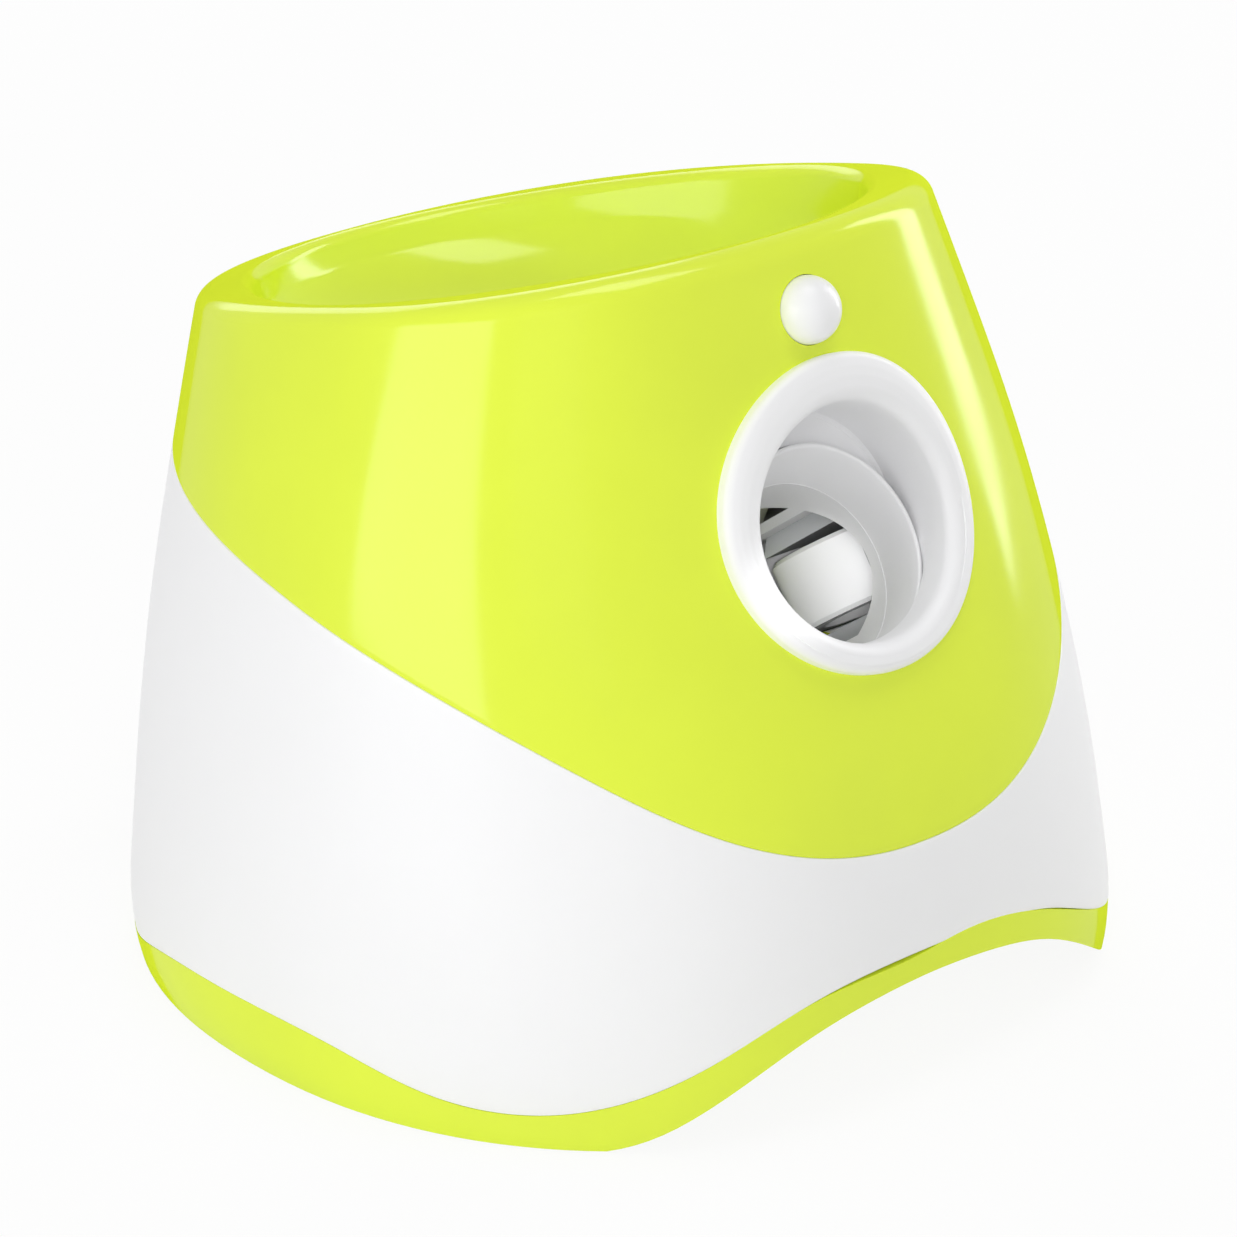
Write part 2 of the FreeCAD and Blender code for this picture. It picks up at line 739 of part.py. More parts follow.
def make_nozzle():
    """White flared nozzle on the launch tube's front end."""
    flare, inside = [], []
    lip, back = float(size.nozzle_lip_radius), float(bore_radius)
    rise, length = float(size.nozzle_lip_rise), float(size.nozzle_length)
    outside_front, outside_back = lip + float(size.nozzle_lip_wall), back + float(size.tube_wall)
    pairs = ((outside_front, outside_back, flare), (lip, back + STEP, inside))
    for radius_front, radius_back, target in pairs:
        front = Part.Wire(Part.makeCircle(radius_front, Vector(0, rise, 0)))
        rear = Part.Wire(Part.makeCircle(radius_back, Vector(0, 0, -length)))
        target.append(lofted([rear, front], True))
    overlap = Vector(0, 0, -length - SLEEVE_OVERLAP)
    sleeve = Part.makeCylinder(sleeve_radius() + SLEEVE_WALL, SLEEVE_OVERLAP + 2 * LUG, overlap)
    sleeve = sleeve.cut(Part.makeCylinder(sleeve_radius(), SLEEVE_OVERLAP + STEP, overlap))
    bore = Part.makeCylinder(back, 2 * SLEEVE_OVERLAP + 2 * STEP, Vector(0, 0, -length - 2 * SLEEVE_OVERLAP))
    return flare[0].fuse(sleeve).cut([inside[0], bore])


node("upper_shell", solid_feature("UpperShell", make_upper_shell()))
node("body_shell", solid_feature("BodyShell", make_body_shell()))
node("base_tray", solid_feature("BaseTray", make_base_tray()))
node("hopper_funnel", solid_feature("HopperFunnel", make_hopper()))
node("muzzle_bezel", solid_feature("MuzzleBezel", make_bezel()))
node("launch_nozzle", solid_feature("LaunchNozzle", make_nozzle()), launch_frame)

# --- launch chamber ------------------------------------------------------------------------------

FACING_X = Rotation(Vector(0, 1, 0), 90)
FACING_Y = Rotation(Vector(1, 0, 0), -90)
CHUTE_CLEAR = 2.6  # the bowl's underside dips below its outlet ring at the front


def launch_cylinder(name, radius, length, depth, x=0, y=0, rotation=None):
    """A cylinder in launch coordinates; with no rotation it runs along the launch axis."""
    feature = bind(document.addObject("Part::Cylinder", name), Radius=radius, Height=length)
    feature.Placement = in_launch(x, y, -float(depth), rotation)
    return feature


def launch_block(name, width, height, length, depth, x=0, y=0):
    """A box in launch coordinates, centred on x, y and the depth behind the nozzle's lip."""
    feature = bind(document.addObject("Part::Box", name), Length=width, Width=height, Height=length)
    corner = (float(x) - float(measure(width)) / 2, float(y) - float(measure(height)) / 2,
              -float(depth) - float(measure(length)) / 2)
    feature.Placement = in_launch(*corner)
    return feature


flange_inside = size.wheel_width / 2 + size.flange_gap
flange_outside = flange_inside + size.flange_thickness
web_x = tube_radius + 0.5
end_wall = size.tube_wall
chute_radius = tube_radius + 1.5
chute_top = size.outlet_height - size.wall - size.fit_gap - CHUTE_CLEAR
shelf_thickness = size.web_thickness
shelf_length = size.bracket_length
shelf_reach = size.bracket_reach - 20
plunger_radius = 2.0
seat_lead = 4  # how far the switch sits in front of the ball's rest

chute_height = chute_top - ball_seat.z
tube = launch_cylinder("TubeOuter", tube_radius, chamber_depth + end_wall - size.nozzle_length,
                       chamber_depth + end_wall)
chute = cylinder("ChuteOuter", chute_radius, chute_height, 0, ball_seat.y, ball_seat.z)
windows = launch_cylinder("WheelWindows", size.window_radius, 3 * tube_radius, wheel_depth,
                          -1.5 * tube_radius, 0, FACING_X)
shelf_y = flange_outside + shelf_thickness / 2
upper_shelf = launch_block("UpperShelf", 2 * shelf_reach, shelf_thickness, shelf_length, wheel_depth, 0,
                           shelf_y)
lower_shelf_width = 2 * (wheel_x - size.motor_radius - 1)
lower_shelf = launch_block("LowerShelf", lower_shelf_width, shelf_thickness, shelf_length, wheel_depth, 0,
                           -shelf_y)
windowed_tube = cut("WindowedTube", fuse("TubeAndChute", tube, chute), windows)
pockets = [launch_cylinder(f"WheelPocket{side}", size.wheel_radius + size.flange_gap, 2 * flange_inside,
                           wheel_depth, side * float(wheel_x), -float(flange_inside), FACING_Y)
           for side in (-1, 1)]
web_pocket = launch_block("BracketPocket", 4 * web_x, 2 * flange_outside, shelf_length + 1, wheel_depth)
web_pocket_core = launch_block("BracketPocketCore", 2 * web_x - 2 * SLIDE_GAP, 3 * flange_outside,
                               2 * shelf_length, wheel_depth)
pusher_slot = block("PusherSlot", size.pusher_width + 2, DRILL, DRILL, 0, ball_seat.y + 36, ball_seat.z - 26)
switch_depth = size.ball_rest - seat_lead
chamber_bores = fuse(
    "ChamberBores",
    launch_cylinder("TubeBore", bore_radius, chamber_depth, chamber_depth),
    cylinder("ChuteBore", bore_radius, chute_height + 10, 0, ball_seat.y, ball_seat.z),
    cylinder("SpoutSeat", spout_radius() + SPOUT_WALL + size.fit_gap, 20, 0, ball_seat.y,
             size.outlet_height - size.spout_length - 0.5),
    pusher_slot,
    launch_cylinder("PlungerHole", plunger_radius + size.fit_gap, 20, switch_depth, 0, -38, FACING_Y),
    cut("BracketPockets", web_pocket, web_pocket_core),
    *pockets,
)
shelves = cut("OpenShelves", compound("Shelves", upper_shelf, lower_shelf), chamber_bores)
node("launch_chamber", fuse("LaunchChamber", cut("OpenTube", windowed_tube, chamber_bores), shelves))

# Cradle that carries the chamber on the floor plate.
FLOOR = size.floor_height + size.floor_thickness
cradle_plate = block("CradlePlate", 56, 78, 3, 0, -54, FLOOR)
cradle_front = block("CradleFront", 50, 4, 70, 0, -84, FLOOR)
cradle_rear = block("CradleRear", 50, 4, 34, 0, -24, FLOOR)
cradle_form = fuse("CradleForm", cradle_plate, cradle_front, cradle_rear)
cradle_seat = launch_cylinder("CradleSeat", tube_radius + 0.1, 2 * chamber_depth, 1.5 * chamber_depth)
cradle_holes = [cylinder(f"CradleHole{x}{y}", size.screw_radius + SLIDE_GAP, 20, x, y, 30)
                for x, y in cradle_feet()]
node("chamber_cradle", cut("ChamberCradle", cradle_form, fuse("CradleCuts", cradle_seat, *cradle_holes)))

# --- launch wheels -------------------------------------------------------------------------------

hub_radius = size.wheel_radius - size.tyre_thickness
half_wheel = size.wheel_width / 2
shaft_bore = size.shaft_radius + size.shaft_clearance


def wheel_place(side, rise=0.0):
    """Upright on a launch wheel's axle."""
    return in_launch(side * float(wheel_x), rise, -float(wheel_depth), FACING_Y)


def add_wheel(word, side):
    """One launch wheel: hub, tyre, shaft, motor and bracket."""
    boss, web_half, rim_inner = 6.0, 3.0, hub_radius - 3.5
    low, high = -half_wheel, half_wheel
    revolved(f"{word}_wheel_hub", [
        (size.shaft_radius, low), (boss, low), (boss, -web_half), (rim_inner, -web_half),
        (rim_inner, low), (hub_radius, low), (hub_radius, high), (rim_inner, high),
        (rim_inner, web_half), (boss, web_half), (boss, high), (size.shaft_radius, high),
    ], wheel_place(side))
    edge = 1.2
    tread = size.wheel_radius
    revolved(f"{word}_wheel_tyre", [
        (hub_radius, low), (tread - edge, low), (tread, low + edge),
        (tread, high - edge), (tread - edge, high), (hub_radius, high),
    ], wheel_place(side))
    shaft_low = flange_outside + 12
    shaft_length = shaft_low + flange_outside
    shaft = bind(document.addObject("Part::Cylinder", f"{word}MotorShaft"), Radius=size.shaft_radius,
                 Height=shaft_length)
    node(f"{word}_motor_shaft", shaft, wheel_place(side, -float(shaft_low)))
    can = cylinder(f"{word}Can", size.motor_radius, size.motor_length)
    tail = cylinder(f"{word}Tail", 5, 3, 0, 0, -2.5)
    tags = [block(f"{word}Terminal{x}", 0.8, 3, 5, x, 0, -4) for x in (-8, 8)]
    motor_bore = cylinder(f"{word}MotorBore", shaft_bore, 20, 0, 0, size.motor_length - 13)
    motor = cut(f"{word}Motor", fuse(f"{word}MotorForm", can, tail, *tags), motor_bore)
    node(f"{word}_motor", motor, wheel_place(side, -float(flange_outside + size.motor_length)))
    add_bracket(word, side)


def add_bracket(word, side):
    """A light grey frame: web with the wheel slot, two flanges that hold the bushes and the motor."""
    depth = size.bracket_reach - web_x
    middle = side * (float(web_x) + float(depth) / 2)
    form = launch_block(f"{word}BracketForm", depth, 2 * flange_outside, size.bracket_length, wheel_depth,
                        middle)
    hollow_x = middle + side * float(size.web_thickness)
    hollow = launch_block(f"{word}BracketHollow", depth, 2 * flange_inside, 2 * size.bracket_length,
                          wheel_depth, hollow_x)
    slot = launch_block(f"{word}BracketSlot", 4 * depth, 2 * flange_inside, size.bracket_length - 4,
                        wheel_depth)
    axle = launch_cylinder(f"{word}BushHoles", size.bush_radius, 3 * flange_outside, wheel_depth,
                           side * float(wheel_x), -1.5 * float(flange_outside), FACING_Y)
    side_length = 14.0
    bevel = launch_block(f"{word}BracketBevel", 4 * depth, side_length, side_length, 0)
    corner = in_launch(-2 * float(depth), float(flange_outside),
                       -float(wheel_depth + size.bracket_length / 2), Rotation(Vector(1, 0, 0), 45))
    bevel.Placement = corner.multiply(Placement(Vector(0, -side_length / 2, -side_length / 2), Rotation()))
    tools = fuse(f"{word}BracketTools", hollow, slot, axle, bevel)
    node(f"{word}_wheel_bracket", cut(f"{word}Bracket", form, tools))


bushes = []
for wheel_word, wheel_side in (("left", -1), ("right", 1)):
    add_wheel(wheel_word, wheel_side)
    for end, rise in (("Low", -float(flange_outside)), ("High", float(flange_inside))):
        ring = cylinder(f"{wheel_word}Bush{end}", size.bush_radius, size.flange_thickness)
        hole = cylinder(f"{wheel_word}BushBore{end}", shaft_bore, 3 * size.flange_thickness, 0, 0,
                        -size.flange_thickness)
        bush = cut(f"{wheel_word}BushRing{end}", ring, hole)
        bush.Placement = wheel_place(wheel_side, rise)
        bushes.append(bush)
node("wheel_bushes", compound("WheelBushes", *bushes))

# --- feed pusher ---------------------------------------------------------------------------------

TIP_RADIUS = 6.0
touching = float(ball_radius) + float(size.wheel_radius)
bite = float(wheel_depth) + math.sqrt(touching ** 2 - float(wheel_x) ** 2)
stroke = float(size.ball_rest) - bite
tip_start = on_axis(float(size.ball_rest) + float(ball_radius) + TIP_RADIUS + 0.5)
tip_middle = tip_start + launch_out * (stroke / 2)
pusher_reach = float(size.pusher_reach)
pivot = tip_middle + launch_up * math.sqrt(pusher_reach ** 2 - (stroke / 2) ** 2)
pusher_swing = math.degrees(2 * math.asin(stroke / 2 / pusher_reach))
pusher_lean = math.degrees(math.atan2(tip_start.y - pivot.y, pivot.z - tip_start.z))

half_pusher = size.pusher_width / 2
arm = block("PusherArm", size.pusher_width, size.pusher_thickness, size.pusher_reach, 0, 0,
            -size.pusher_reach)
pusher_tip = cylinder("PusherTip", TIP_RADIUS, size.pusher_width, -half_pusher, 0, -size.pusher_reach,
                      FACING_X)
pusher_hub = cylinder("PusherHub", 8, size.pusher_width, -half_pusher, 0, 0, FACING_X)
pusher_bore = cylinder("PusherBore", 2.5, 40, -20, 0, 0, FACING_X)
pusher = cut("FeedPusher", fuse("PusherForm", arm, pusher_tip, pusher_hub), pusher_bore)
node("feed_pusher", pusher, Placement(pivot, Rotation(Vector(1, 0, 0), pusher_lean)))
SERVO_X = 8.0
servo_shaft = cylinder("ServoShaft", 2.5, SERVO_X + 8 + half_pusher, -half_pusher, pivot.y, pivot.z, FACING_X)
node("servo_shaft", servo_shaft)
servo_y = pivot.y + 10
servo_case = block("ServoCase", size.servo_depth, size.servo_length, size.servo_width,
                   SERVO_X + size.servo_depth / 2, servo_y, pivot.z - size.servo_width / 2)
servo_ears = block("ServoEars", 2.5, size.servo_length + 14, size.servo_width, SERVO_X + 11,
                   servo_y, pivot.z - size.servo_width / 2)
servo_bore = cylinder("ServoBore", 2.5 + size.shaft_clearance, 9, SERVO_X - 0.5, pivot.y, pivot.z, FACING_X)
node("feed_servo", cut("FeedServo", fuse("ServoForm", servo_case, servo_ears), servo_bore))

PLATE_THICKNESS = 2.6
SADDLE_HEIGHT = 12.5
bracket_plate = block("ServoPlate", 40, 52, PLATE_THICKNESS, SERVO_X + 19, servo_y - 1,
                      pivot.z - size.servo_width / 2 - PLATE_THICKNESS)
bracket_saddle = block("ServoSaddle", 22, 16, SADDLE_HEIGHT, SERVO_X + 10, ball_seat.y + 28,
                       pivot.z - size.servo_width / 2 - SADDLE_HEIGHT)
bracket_seat = cylinder("ServoSeat", chute_radius + 0.1, 100, 0, ball_seat.y, 60)
bracket_form = fuse("ServoBracketForm", bracket_plate, bracket_saddle)
node("servo_bracket", cut("ServoBracket", bracket_form, bracket_seat))

# --- ball switch under the seat ------------------------------------------------------------------

switch_case = launch_block("SwitchCase", 6.4, 10, 20, switch_depth, 0, -float(tube_radius) - 5.3)
switch_bore = launch_cylinder("SwitchBore", 2.1, 7, switch_depth, 0, -float(tube_radius) - 7, FACING_Y)
node("ball_switch", cut("BallSwitch", switch_case, switch_bore))
plunger_low = -float(tube_radius) - 3
plunger_rise = 3.2  # how far the plunger stands into the bore
plunger = launch_cylinder("BallSwitchPlunger", plunger_radius, plunger_rise - plunger_low - bore_radius,
                          switch_depth, 0, plunger_low, FACING_Y)
node("ball_switch_plunger", plunger)

# --- front motion sensor -------------------------------------------------------------------------

lens_turn = Rotation(Vector(1, 0, 0), 90 - math.degrees(lens_lean))
lens_frame = Placement(lens_centre, lens_turn)
lens_square = size.lens_radius * size.lens_radius + size.lens_dome * size.lens_dome
sphere_radius = lens_square / (2 * size.lens_dome)
dome = bind(document.addObject("Part::Sphere", "LensSphere"), Radius=sphere_radius)
put(dome, 0, 0, size.lens_dome - sphere_radius)
LENS_WALL = 1.2
lens_stem = cylinder("LensStem", size.lens_radius, size.lens_dome + size.wall + 0.6, 0, 0, -size.wall - 0.6)
lens_flange = cylinder("LensFlange", size.lens_radius + 2, LENS_WALL, 0, 0, -size.wall - 1.6)
lens_hollow = bind(document.addObject("Part::Sphere", "LensInside"), Radius=sphere_radius - LENS_WALL)
put(lens_hollow, 0, 0, size.lens_dome - sphere_radius)
lens_core = cylinder("LensCore", size.lens_radius - LENS_WALL, 3 * size.lens_dome, 0, 0,
                     -2 * size.lens_dome)
lens_form = fuse("LensForm", common("LensDome", dome, lens_stem), lens_flange)
node("sensor_lens", cut("SensorLens", lens_form, common("LensHollow", lens_hollow, lens_core)), lens_frame)
board_back = -float(size.wall) - 3.4
pir_can = cylinder("PirCan", 4.1, 2.6)
node("motion_sensor", pir_can, lens_frame.multiply(Placement(Vector(0, 0, board_back + 1.4), Rotation())))
SENSOR_BOARD_RADIUS = 10.2
node("sensor_board", cylinder("SensorBoard", SENSOR_BOARD_RADIUS, 1.4),
     lens_frame.multiply(Placement(Vector(0, 0, board_back), Rotation())))
holder_inner = cylinder("HolderInner", SENSOR_BOARD_RADIUS + 0.1, 10, 0, 0, -1)
holder_ring = cut("HolderRing", cylinder("HolderOuter", SENSOR_BOARD_RADIUS + 1.3, 2.2), holder_inner)
node("sensor_holder", holder_ring, lens_frame.multiply(Placement(Vector(0, 0, board_back - 0.4), Rotation())))

# --- rear controls -------------------------------------------------------------------------------

PANEL_THICKNESS = 2.2
panel_blank = skin(wall + SLIDE_GAP).cut(skin(wall + SLIDE_GAP + PANEL_THICKNESS)).common(panel_opening(5.0))
button_z = size.panel_height + size.button_rise
button_x = size.button_spacing / 2
jack_z = size.panel_height - 12
BACK = size.back_reach_5
CAP_LENGTH = 9.2
RIM_LENGTH = 1.2
TACT_HEIGHT = 5.0
button_front = BACK - 1.0
board_y = button_front - CAP_LENGTH - size.button_travel - SLIDE_GAP - TACT_HEIGHT - size.board_thickness / 2
switch_y = board_y + size.board_thickness / 2
panel_posts = [cylinder(f"PanelPost{x}{z}", 2.5, 11, x, switch_y, size.panel_height + z, FACING_Y)
               for x in (-28, 28) for z in (-18, 18)]
panel_form = fuse("PanelForm", solid_feature("PanelBlank", panel_blank), *panel_posts)
panel_holes = [cylinder(f"ButtonHole{side}", size.button_radius + 0.4, DRILL, side * button_x, BEHIND,
                        button_z, FACING_Y) for side in (-1, 1)]
light_xs = [-6.5, 0, 6.5]
light_radius = 1.8
panel_holes += [cylinder(f"LightHole{i}", light_radius + 0.1, DRILL, x, BEHIND, button_z, FACING_Y)
                for i, x in enumerate(light_xs)]
panel_holes.append(cylinder("JackHole", size.jack_radius + SLIDE_GAP, DRILL, 0, BEHIND, jack_z, FACING_Y))
node("control_panel", cut("ControlPanel", panel_form, fuse("PanelHoles", *panel_holes)))
for word, side in (("power", -1), ("distance", 1)):
    place = (side * button_x, button_front - CAP_LENGTH, button_z, FACING_Y)
    cap = cylinder(f"{word}Cap", size.button_radius, CAP_LENGTH, *place)
    rim = cylinder(f"{word}Rim", size.button_radius + 1.6, RIM_LENGTH, *place)
    node(f"{word}_button", fuse(f"{word}Button", cap, rim))
node("control_board", block("ControlBoard", 64, size.board_thickness, 44, 0, board_y, size.panel_height - 22))
tacts = [block(f"Tact{side}", 6, TACT_HEIGHT, 6, side * button_x, switch_y + TACT_HEIGHT / 2, button_z - 3)
         for side in (-1, 1)]
node("tact_switches", compound("TactSwitches", *tacts))
light_length = BACK - size.wall - switch_y - 0.8
lights = [cylinder(f"Light{i}", light_radius, light_length, x, switch_y, button_z, FACING_Y)
          for i, x in enumerate(light_xs)]
node("indicator_lights", compound("IndicatorLights", *lights))
jack_length = BACK - size.wall - switch_y - 0.6
jack_body = cylinder("JackBody", size.jack_radius, jack_length, 0, switch_y, jack_z, FACING_Y)
jack_hole = cylinder("JackBore", 3.2, 20, 0, BACK - 12, jack_z, FACING_Y)
jack_ring = cut("JackRing", jack_body, jack_hole)
jack_pin = cylinder("JackPin", 1.0, 9, 0, BACK - 13, jack_z, FACING_Y)
node("dc_jack", fuse("DcJack", jack_ring, jack_pin))

# --- battery box, door, cells and boards ---------------------------------------------------------

inside_width = 3 * size.cell_length + CONTACT_ROOM
inside_depth = 2 * (size.cell_diameter + CELL_PLAY) + ROW_WALL
box_wall = size.battery_wall
box_height = size.cell_diameter + CELL_PLAY + LUG
box_top = FLOOR + box_height + box_wall
box_form = block("BatteryBoxForm", inside_width + 2 * box_wall, inside_depth + 2 * box_wall,
                 box_height + box_wall, 0, size.battery_y, FLOOR)
rows = [size.battery_y + side * (size.cell_diameter + CELL_PLAY + ROW_WALL) / 2 for side in (-1, 1)]
row_depth = size.cell_diameter + CELL_PLAY
box_rows = [block(f"BatteryRow{i}", inside_width, row_depth, box_height, 0, y, FLOOR)
            for i, y in enumerate(rows)]
STANDOFF_HEIGHT = 5.0
board_corners = [(x, size.battery_y + y) for x in (-44, 44) for y in (-18, 18)]
standoffs = [cylinder(f"Standoff{i}", 3, STANDOFF_HEIGHT, x, y, box_top)
             for i, (x, y) in enumerate(board_corners)]
board_z = box_top + STANDOFF_HEIGHT
pilots = [cylinder(f"Pilot{i}", 1, STANDOFF_HEIGHT, x, y, box_top)
          for i, (x, y) in enumerate(board_corners)]
battery_box = cut("BatteryBox", fuse("BatteryBoxBody", box_form, *standoffs),
                  fuse("BatteryRows", *box_rows, *pilots))
node("battery_box", battery_box)
cell_z = FLOOR + 0.2 + size.cell_diameter / 2
for word, y in (("front", rows[0]), ("rear", rows[1])):
    cells = []
    for i in range(3):
        start = (i - 1.5) * size.cell_length
        place = (start, y, cell_z, FACING_X)
        can = cylinder(f"{word}Cell{i}", size.cell_diameter / 2, size.cell_length - 2, *place)
        tip = cylinder(f"{word}CellTip{i}", 3.4, size.cell_length - SLIDE_GAP, *place)
        cells.append(fuse(f"{word}CellForm{i}", can, tip))
    node(f"{word}_cells", compound(f"{word}Cells", *cells))
plates = [block(f"Contact{side}{i}", 0.5, 16, 16, side * (inside_width / 2 - 0.25), y, cell_z - 8)
          for side in (-1, 1) for i, y in enumerate(rows)]
node("battery_contacts", compound("BatteryContacts", *plates))

door_gap = 0.6
door_top = FLOOR - DOOR_DROP
door = block("DoorPlate", inside_width - 2 * door_gap, inside_depth - 2 * door_gap, size.door_thickness, 0,
             size.battery_y, door_top - size.door_thickness)
grip = block("DoorGrip", 24, 5, 3, 0, size.battery_y + inside_depth / 2 - 6,
             door_top - size.door_thickness - 1)
hinge_y, hinge_z = hinge_place()
hinge_length = inside_width + 2 * HINGE_REACH
hinge_pin = cylinder("HingePin", HINGE_RADIUS, hinge_length, -hinge_length / 2, hinge_y, hinge_z, FACING_X)
node("battery_door", cut("BatteryDoor", fuse("DoorForm", door, hinge_pin), grip))

board_holes = [cylinder(f"BoardHole{i}", 1.1, 10, x, y, board_z - 4)
               for i, (x, y) in enumerate(board_corners)]
board_blank = block("MainBoardBlank", 100, 48, size.board_thickness, 0, size.battery_y, board_z)
node("main_board", cut("MainBoard", board_blank, fuse("BoardHoles", *board_holes)))
board_top = board_z + size.board_thickness
parts_on_board = [
    block("DriverChip", 12, 12, 2.4, -8, size.battery_y - 6, board_top),
    block("RelayLeft", 15, 19, 12, -34, size.battery_y - 4, board_top),
    block("PlugRow", 24, 7, 8, 22, size.battery_y - 17, board_top),
    cylinder("CapacitorTall", 5, 12, 8, size.battery_y + 12, board_top),
    cylinder("CapacitorShort", 4, 9, -8, size.battery_y + 14, board_top),
]
node("board_components", compound("BoardComponents", *parts_on_board))
buzzer_form = cylinder("BuzzerCase", 7, 9, 36, size.battery_y + 8, board_top)
buzzer_hole = cylinder("BuzzerHole", 1.2, 4, 36, size.battery_y + 8, board_top + 6)
node("buzzer", cut("Buzzer", buzzer_form, buzzer_hole))

# --- feet and fasteners --------------------------------------------------------------------------

pads = [cylinder(f"Pad{i}", size.pad_radius, size.pad_thickness, x, y, 0) for i, (x, y) in enumerate(feet())]
node("foot_pads", compound("FootPads", *pads))


def screw(name, radius, length, x, y, z, turn=None):
    """A pan-head screw whose head sits under z with its shank going up, or the other way when turned."""
    head = cylinder(name + "Head", radius * 1.8, radius * 1.3, 0, 0, -radius * 1.3)
    shank = cylinder(name + "Shank", radius, length)
    socket = cylinder(name + "Socket", radius * 0.8, radius * 0.7, 0, 0, -radius * 1.3)
    return put(cut(name, fuse(name + "Form", head, shank), socket), x, y, z, turn)


case_screws = [screw(f"CaseScrew{i}", size.screw_radius, 25, x, y, screw_seat())
               for i, (x, y) in enumerate(feet())]
node("case_screws", compound("CaseScrews", *case_screws))
UPSIDE_DOWN = Rotation(Vector(1, 0, 0), 180)
chamber_screws = [screw(f"ChamberScrew{i}", size.screw_radius, 9.5, x, y, FLOOR + 3, UPSIDE_DOWN)
                  for i, (x, y) in enumerate(cradle_feet())]
node("chamber_screws", compound("ChamberScrews", *chamber_screws))
board_screws = [screw(f"BoardScrew{i}", measure(1), 6, x, y, board_top, UPSIDE_DOWN)
                for i, (x, y) in enumerate(board_corners)]
node("board_screws", compound("BoardScrews", *board_screws))

document.recompute()
for feature in document.Objects:
    if "Invalid" in feature.State or "Error" in feature.State:
        raise RuntimeError(f"{feature.Name} failed: {feature.State}")
for label, feature in nodes.items():
    if feature.Shape.isNull() or not feature.Shape.isValid():
        raise RuntimeError(f"{label} has no valid shape")
os.makedirs("parts", exist_ok=True)
for label, feature in nodes.items():
    feature.Shape.exportStep(f"parts/{label}.step")
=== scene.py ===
"""Dresses the automatic ball launcher: its moulded housing, muzzle, wheels, rear controls and studio."""

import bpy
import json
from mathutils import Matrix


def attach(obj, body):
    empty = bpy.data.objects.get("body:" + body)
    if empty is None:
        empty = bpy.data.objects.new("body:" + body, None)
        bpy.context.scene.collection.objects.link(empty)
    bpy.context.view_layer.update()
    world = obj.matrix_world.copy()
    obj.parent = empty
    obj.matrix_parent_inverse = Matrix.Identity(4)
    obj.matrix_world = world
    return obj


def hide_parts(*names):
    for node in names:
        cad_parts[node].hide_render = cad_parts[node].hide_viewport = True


bl_info = {
    "name": "Ball launcher",
    "version": (1, 0, 0),
    "blender": (4, 5, 0),
    "location": "3D View > Sidebar > Launcher",
    "description": "Builds the looks of an automatic ball launcher round its packed construction",
    "category": "Object",
}

import json
import math

import bmesh
import bpy
import numpy as np
from bpy.props import FloatProperty, FloatVectorProperty, PointerProperty
from bpy.types import Operator, Panel, PropertyGroup
from mathutils import Matrix, Vector

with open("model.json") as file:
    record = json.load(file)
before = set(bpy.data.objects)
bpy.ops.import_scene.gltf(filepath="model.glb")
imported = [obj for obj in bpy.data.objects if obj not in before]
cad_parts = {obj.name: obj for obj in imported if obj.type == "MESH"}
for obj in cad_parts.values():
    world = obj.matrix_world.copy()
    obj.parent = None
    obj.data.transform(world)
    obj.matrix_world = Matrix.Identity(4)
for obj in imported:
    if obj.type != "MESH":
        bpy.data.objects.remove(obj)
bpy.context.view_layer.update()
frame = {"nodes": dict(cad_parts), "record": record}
MM = 0.001


# --- the housing's form --------------------------------------------------------------------------

# Height, half width, reach to the front, reach to the back, in millimetres.
STATIONS = np.array([
    (0.0, 139.0, 139.8, 139.8),
    (12.0, 140.9, 140.8, 141.4),
    (30.0, 140.0, 138.7, 141.3),
    (55.0, 136.9, 134.4, 140.7),
    (100.0, 129.5, 123.1, 139.4),
    (150.0, 119.9, 103.4, 133.4),
    (200.0, 103.6, 84.2, 132.6),
    (250.0, 84.1, 68.2, 131.0),
])
SQUARENESS = 2.18
WIDEST_Y = -1.5
CENTRE_Y = 1.735  # the form is made round its own middle and then moved to stand over the origin
WALL = 2.6
RIM_HEIGHT = 217.0
RIM_SLOPE = math.tan(math.radians(14.6))
LIP_DEPTH = 5.0
MOUTH_HALF_WIDTH = 88.8
MOUTH_FRONT = 62.4
MOUTH_BACK = 122.8
MOUTH_MIDDLE = 20.2
MOUTH_SQUARENESS = 1.9
OUTLET_HEIGHT = 156.0
OUTLET_RADIUS = 27.9
SPOUT_LENGTH = 8.0
SPOUT_LEDGE = 0.9  # how far the outlet's edge stands into the bowl's foot
SPOUT_WALL = 1.6
SEAT_Y = -19.294
LIP_START = 0.03  # share of the way into the bowl at which the rim's inner round ends
CUT_CLEAR = 0.3  # room left round a piece that passes through another
# Upper seam in side view (y, z); lower seam's height by angle from the front.
UPPER_SEAM = [(-180, 28), (-131.4, 72.8), (-88, 107.8), (-40, 129.8), (10, 140.8), (60, 146.8), (110, 151.3),
              (180, 160)]
LOWER_SEAM = [(0, 43.7), (17.8, 39.2), (32.8, 22.3), (46.4, 11.8), (60.1, 12.0), (74.7, 19.4),
              (92.4, 20.8), (109.2, 17.2), (119.0, 10.6), (129.0, 5.2), (140.0, 8.0), (152.0, 20.5),
              (165.0, 35.5), (180, 43.0)]


